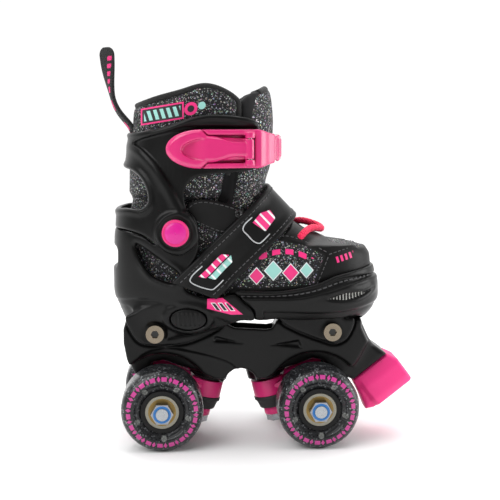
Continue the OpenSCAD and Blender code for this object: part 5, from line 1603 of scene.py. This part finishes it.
def urethane_finish(c):
    """Smoky urethane with flakes whose sparkle is painted as pale specks, a darker dish, five pale patches
    round the dish and a printed ring.
    """
    f = Finish("urethane")
    x, y, z = f.xyz()
    r = (x * x + z * z) ** 0.5
    turn = z.math("ARCTAN2", x) / (2 * math.pi) + 0.5
    step = (turn * 18).math("FRACT")
    dash = abs(step - 0.3) < 0.23
    away = abs(r - PRINT_RADIUS)
    gem = (abs(step - 0.77) / 0.16 + away / 1.9) < 1
    ink = (away < 1.9) * (abs(y) > 13) * biggest(dash * (away < 1.35), gem)
    parts = f.channels(f.cells(1.15))
    # Pale specks of real flakes, with their sparkle painted in as highlight
    flake_glint = (parts[0] > 0.72) * (0.02 + parts[1] ** 4 * 0.34)
    dark = f.mix(flake_glint, rgb(c.tyre), (0.7, 0.73, 0.77, 1))
    dish = (r < 18) * (abs(y) > 12)
    dark = f.mix(dish * 0.55, dark, (0.008, 0.008, 0.009, 1))
    # Five pale patches round the dish
    fifth = (turn * 5 + 0.2).math("FRACT") - 0.5
    pale_patch = (((r - 17.4) / 2.0) ** 2 + (fifth / 0.08) ** 2 < 1) * (abs(y) > 12)
    dark = f.mix(pale_patch * (0.2 + parts[1] * 0.4), dark, (0.32, 0.33, 0.31, 1))
    return f.done(f.surface(
        base_color=f.mix(ink, dark, (0.50, 0.05, 0.25, 1)), roughness=0.26 + parts[2] * 0.1, coat_weight=0.2,
        coat_roughness=0.1, specular_ior_level=0.3, normal=f.bump(parts[1], 0.05),
    ))


def ringed_metal(name, colour, inner, low, high, out, mid=0.0, half=AXLE_X, rise=0.0):
    """Plated steel with another finish in a ring about each of a pair of cross axes, out from the middle."""
    f = Finish(name)
    where = f.cad_place()
    x, y, z = f.xyz(where)
    r = ((abs(x - float(ORIGIN[0]) / MM - mid) - half) ** 2 + (z - float(ORIGIN[2]) / MM - rise) ** 2) ** 0.5
    ring = (r > low) * (r < high) * (abs(y) > out)
    patch = f.noise(0.6, 4, where)
    steel = f.surface(
        base_color=f.shades(patch, colour, 0.8, 1), metallic=1.0, roughness=0.2 + patch * 0.1,
        normal=f.bump(f.noise(3.5, 2, where), 0.05, 0.0001),
    )
    # The gold washer and blue nylon ring are real colours; on the bolts the dark disc is painted shade in the
    # socket
    other = f.surface(base_color=rgb(inner), metallic=0.7 if inner[0] > 0.1 else 0.0, roughness=0.35)
    return f.done(f.layer(ring, steel, other))


def thread(name, colour):
    """Twisted thread."""
    f = Finish(name)
    x, y, z = f.xyz()
    twist = ((x + y + z) * 7).math("SINE")
    return f.done(f.surface(base_color=f.shades(twist * 0.5 + 0.5, colour, 0.7, 1), roughness=0.6))


RUBBER = (0.014, 0.014, 0.015)
FINISHES = {
    "sticker_plastic": sticker_finish,
    "black_plastic": lambda c: plastic("black_plastic", c.shell, 0.3, shine=0.2),
    "gloss_black": lambda c: plastic("gloss_black", c.shell, 0.2, 0.03, shine=0.5),
    "cap_pink": cap_finish,
    "toe_plastic": toe_finish,
    "black_cad": lambda c: plastic("black_cad", c.shell, 0.3, at="cad", shine=0.2),
    "pink_plastic": lambda c: plastic("pink_plastic", c.accent, 0.3, 0.06, coat=0.2),
    # pink_gloss and pink_rubber are lit and shaded copies of the accent: the lever, facing the key light, is
    # painted darker, and the toe stop, facing down and away, is painted lighter
    "pink_gloss": lambda c: plastic("pink_gloss", [v * 0.8 for v in c.accent], 0.24, 0.04, coat=0.5),
    "pink_cad": lambda c: plastic("pink_cad", c.accent, 0.36, 0.1, at="cad"),
    "pink_rubber": lambda c: plastic("pink_rubber", [min(v * 1.15, 1) for v in c.accent], 0.5, 0.2),
    "upper": upper_finish,
    "collar": lambda c: collar_finish(c, "collar", True),
    "tongue": lambda c: collar_finish(c, "tongue", False),
    "leather": leather_finish,
    "lining": lambda c: cloth("lining", (0.008, 0.008, 0.009)),
    "binding": lambda c: cloth("binding", (0.006, 0.006, 0.006), 3.0),
    "label_pink": lambda c: label_finish("label_pink", c.accent),
    "label_mint": lambda c: label_finish("label_mint", c.second),
    "dull_thread": lambda c: thread("dull_thread", (0.075, 0.075, 0.078)),
    "pink_thread": lambda c: thread("pink_thread", c.accent),
    "silver_thread": lambda c: thread("silver_thread", (0.55, 0.57, 0.58)),
    "webbing": lambda c: webbing_finish("webbing", (0.008, 0.008, 0.008), (0.016, 0.016, 0.017)),
    "lace": lace_finish,
    "urethane": urethane_finish,
    "dark_rubber": lambda c: rubber("dark_rubber", RUBBER),
    "rubber_cad": lambda c: plastic("rubber_cad", RUBBER, 0.6, 0.2, at="cad"),
    "steel": lambda c: metal("steel", (0.40, 0.42, 0.44), 0.26),
    # The dark disc at the middle of each bolt head is painted shade in its hex socket
    "bolt_zinc": lambda c: ringed_metal(
        "bolt_zinc", (0.24, 0.20, 0.15), (0.012, 0.011, 0.01), 0, 2.3, 0, mid=3, half=59, rise=48
    ),
    "bearing_steel": lambda c: ringed_metal(
        "bearing_steel", (0.24, 0.23, 0.19), (0.24, 0.16, 0.05), 6.4, 9.0, 0
    ),
    "nut_steel": lambda c: ringed_metal(
        "nut_steel", (0.30, 0.31, 0.33), (0.01, 0.14, 0.42), 3.8, 5.7, 54.0
    ),
}


def look(name):
    """A finish by name, made when first asked for."""
    return bpy.data.materials.get("finish_" + name) or FINISHES[name](bpy.context.scene.skate_colours)


CAMERA_AT = (-41.97, -764.68, 188.35)
CAMERA_TURN, CAMERA_DROP = math.radians(3.81), math.radians(6.59)


def make_stage(sizes):
    """Plain pale floor, soft studio light and the camera."""
    scene = bpy.context.scene
    f = Finish("paper")
    grain = f.noise(400, 3, f.cad_place())
    pale = f.mix(grain * 0.2, (0.94, 0.94, 0.94, 1), (0.9, 0.9, 0.9, 1))
    paper = f.done(f.surface(base_color=pale, roughness=0.9))
    mesh = bpy.data.meshes.new("floor")
    h = sizes.floor / 2
    mesh.from_pydata([(-h, -h, 0), (h, -h, 0), (h, h, 0), (-h, h, 0)], [], [(0, 1, 2, 3)])
    mesh.materials.append(paper)
    floor = bpy.data.objects.new("floor", mesh)
    floor.location.z = CAD_BOX[0][2] - 0.0002
    scene.collection.objects.link(floor)
    sky = Nodes(bpy.data.worlds.new("studio"), "ShaderNodeOutputWorld")
    ahead = sky.node("ShaderNodeSeparateXYZ", inputs={0: sky.node("ShaderNodeTexCoord")}, output=1)
    fade = sky.node(
        "ShaderNodeMapRange", {"interpolation_type": "SMOOTHSTEP"},
        {0: ahead, 1: -0.25, 2: 0.55, 3: sizes.front, 4: 1.05},
    )
    scene.world = sky.done(sky.node("ShaderNodeBackground", inputs={0: (1, 1, 1, 1), 1: fade}))
    aim = Vector((0, 0, 0.13))
    for name, at, size, power in (
        ("key", (-1.0, -0.8, 1.1), 1.3, sizes.key), ("top", (0.0, -0.05, 1.7), 1.6, sizes.top),
        ("side", (1.3, -0.2, 0.4), 0.9, sizes.key * 0.6), ("back", (0.0, 1.0, 1.7), 1.8, sizes.top * 2.0),
    ):
        light = bpy.data.lights.new(name, "AREA")
        light.size, light.energy = size, power
        lamp = bpy.data.objects.new(name, light)
        lamp.location = at
        lamp.rotation_euler = (aim - Vector(at)).to_track_quat("-Z", "Y").to_euler()
        scene.collection.objects.link(lamp)
    camera = bpy.data.cameras.new("camera")
    camera.lens, camera.sensor_width = sizes.lens, 36
    eye = bpy.data.objects.new("camera", camera)
    eye.location = Vector(placed(CAMERA_AT))
    level = math.cos(CAMERA_DROP)
    forward = Vector((math.sin(CAMERA_TURN) * level, math.cos(CAMERA_TURN) * level, -math.sin(CAMERA_DROP)))
    eye.rotation_euler = forward.to_track_quat("-Z", "Y").to_euler()
    scene.collection.objects.link(eye)
    scene.camera = eye
    scene.view_settings.view_transform = "Standard"


# Operators
class SKATE_OT_heel_shell(bpy.types.Operator):
    """Heel shell with its window, ears and push button"""

    bl_idname = "skate.heel_shell"
    bl_label = "Heel shell"

    def execute(self, context):
        make_heel_shell(look)
        return {"FINISHED"}


class SKATE_OT_toe_shell(bpy.types.Operator):
    """Toe shell with its rim, vents and stitching"""

    bl_idname = "skate.toe_shell"
    bl_label = "Toe shell"

    def execute(self, context):
        make_toe_shell(look)
        return {"FINISHED"}


class SKATE_OT_cuff(bpy.types.Operator):
    """Ankle cuff and its pivot caps"""

    bl_idname = "skate.cuff"
    bl_label = "Cuff"

    def execute(self, context):
        make_cuff(look)
        return {"FINISHED"}


class SKATE_OT_chassis(bpy.types.Operator):
    """Chassis and toe stop"""

    bl_idname = "skate.chassis"
    bl_label = "Chassis"

    def execute(self, context):
        make_chassis(look)
        return {"FINISHED"}


class SKATE_OT_buckle(bpy.types.Operator):
    """Buckle lever, frame and ladder strap"""

    bl_idname = "skate.buckle"
    bl_label = "Buckle"

    def execute(self, context):
        make_buckle(look)
        return {"FINISHED"}


class SKATE_OT_upper(bpy.types.Operator):
    """Boot upper with its panels, flaps and stitching"""

    bl_idname = "skate.upper"
    bl_label = "Upper"

    def execute(self, context):
        make_upper(look)
        return {"FINISHED"}


class SKATE_OT_collar(bpy.types.Operator):
    """Padded ankle collar and tongue with their bindings"""

    bl_idname = "skate.collar"
    bl_label = "Collar and tongue"

    def execute(self, context):
        make_collar(look)
        return {"FINISHED"}


class SKATE_OT_strap(bpy.types.Operator):
    """Instep strap with its stitching and patches"""

    bl_idname = "skate.strap"
    bl_label = "Instep strap"

    def execute(self, context):
        make_strap(look)
        return {"FINISHED"}


class SKATE_OT_cords(bpy.types.Operator):
    """Lace cord and pull loop"""

    bl_idname = "skate.cords"
    bl_label = "Lace and loop"

    def execute(self, context):
        make_cords(look)
        return {"FINISHED"}


class SKATE_OT_wheels(bpy.types.Operator):
    """Tyres and truck cushions"""

    bl_idname = "skate.wheels"
    bl_label = "Wheels"

    def execute(self, context):
        make_wheels(look)
        return {"FINISHED"}


class SKATE_OT_insole(bpy.types.Operator):
    """Padded insole"""

    bl_idname = "skate.insole"
    bl_label = "Insole"

    def execute(self, context):
        make_insole(look)
        return {"FINISHED"}


class SKATE_OT_hardware(bpy.types.Operator):
    """Finishes and softened edges of the metal parts, hubs and hangers"""

    bl_idname = "skate.hardware"
    bl_label = "Hardware"

    def execute(self, context):
        make_hardware(look)
        return {"FINISHED"}


class SKATE_OT_stage(bpy.types.Operator):
    """Floor, lights and camera"""

    bl_idname = "skate.stage"
    bl_label = "Stage"

    def execute(self, context):
        make_stage(context.scene.skate_sizes)
        return {"FINISHED"}


OPERATORS = (
    SKATE_OT_heel_shell, SKATE_OT_toe_shell, SKATE_OT_cuff, SKATE_OT_chassis, SKATE_OT_buckle, SKATE_OT_upper,
    SKATE_OT_collar, SKATE_OT_strap, SKATE_OT_cords, SKATE_OT_wheels, SKATE_OT_insole, SKATE_OT_hardware,
    SKATE_OT_stage,
)


class SKATE_PT_dresser(bpy.types.Panel):
    """Lists the pieces, colours and stage sizes"""

    bl_label = "Skate"
    bl_idname = "SKATE_PT_dresser"
    bl_space_type = "VIEW_3D"
    bl_region_type = "UI"
    bl_category = "Skate"

    def draw(self, context):
        for group in (context.scene.skate_colours, context.scene.skate_sizes):
            for key in group.__annotations__:
                self.layout.prop(group, key)
        for operator in OPERATORS:
            self.layout.operator(operator.bl_idname)


CLASSES = (SkateColours, SkateSizes, *OPERATORS, SKATE_PT_dresser)


def register():
    for c in CLASSES:
        bpy.utils.register_class(c)
    bpy.types.Scene.skate_colours = bpy.props.PointerProperty(type=SkateColours)
    bpy.types.Scene.skate_sizes = bpy.props.PointerProperty(type=SkateSizes)


def unregister():
    del bpy.types.Scene.skate_sizes
    del bpy.types.Scene.skate_colours
    for c in reversed(CLASSES):
        bpy.utils.unregister_class(c)


def main():
    register()
    bpy.ops.skate.heel_shell()
    bpy.ops.skate.toe_shell()
    bpy.ops.skate.cuff()
    bpy.ops.skate.chassis()
    bpy.ops.skate.buckle()
    bpy.ops.skate.upper()
    bpy.ops.skate.collar()
    bpy.ops.skate.strap()
    bpy.ops.skate.cords()
    bpy.ops.skate.wheels()
    bpy.ops.skate.insole()
    bpy.ops.skate.hardware()
    bpy.ops.skate.stage()


if __name__ == "__main__":
    main()
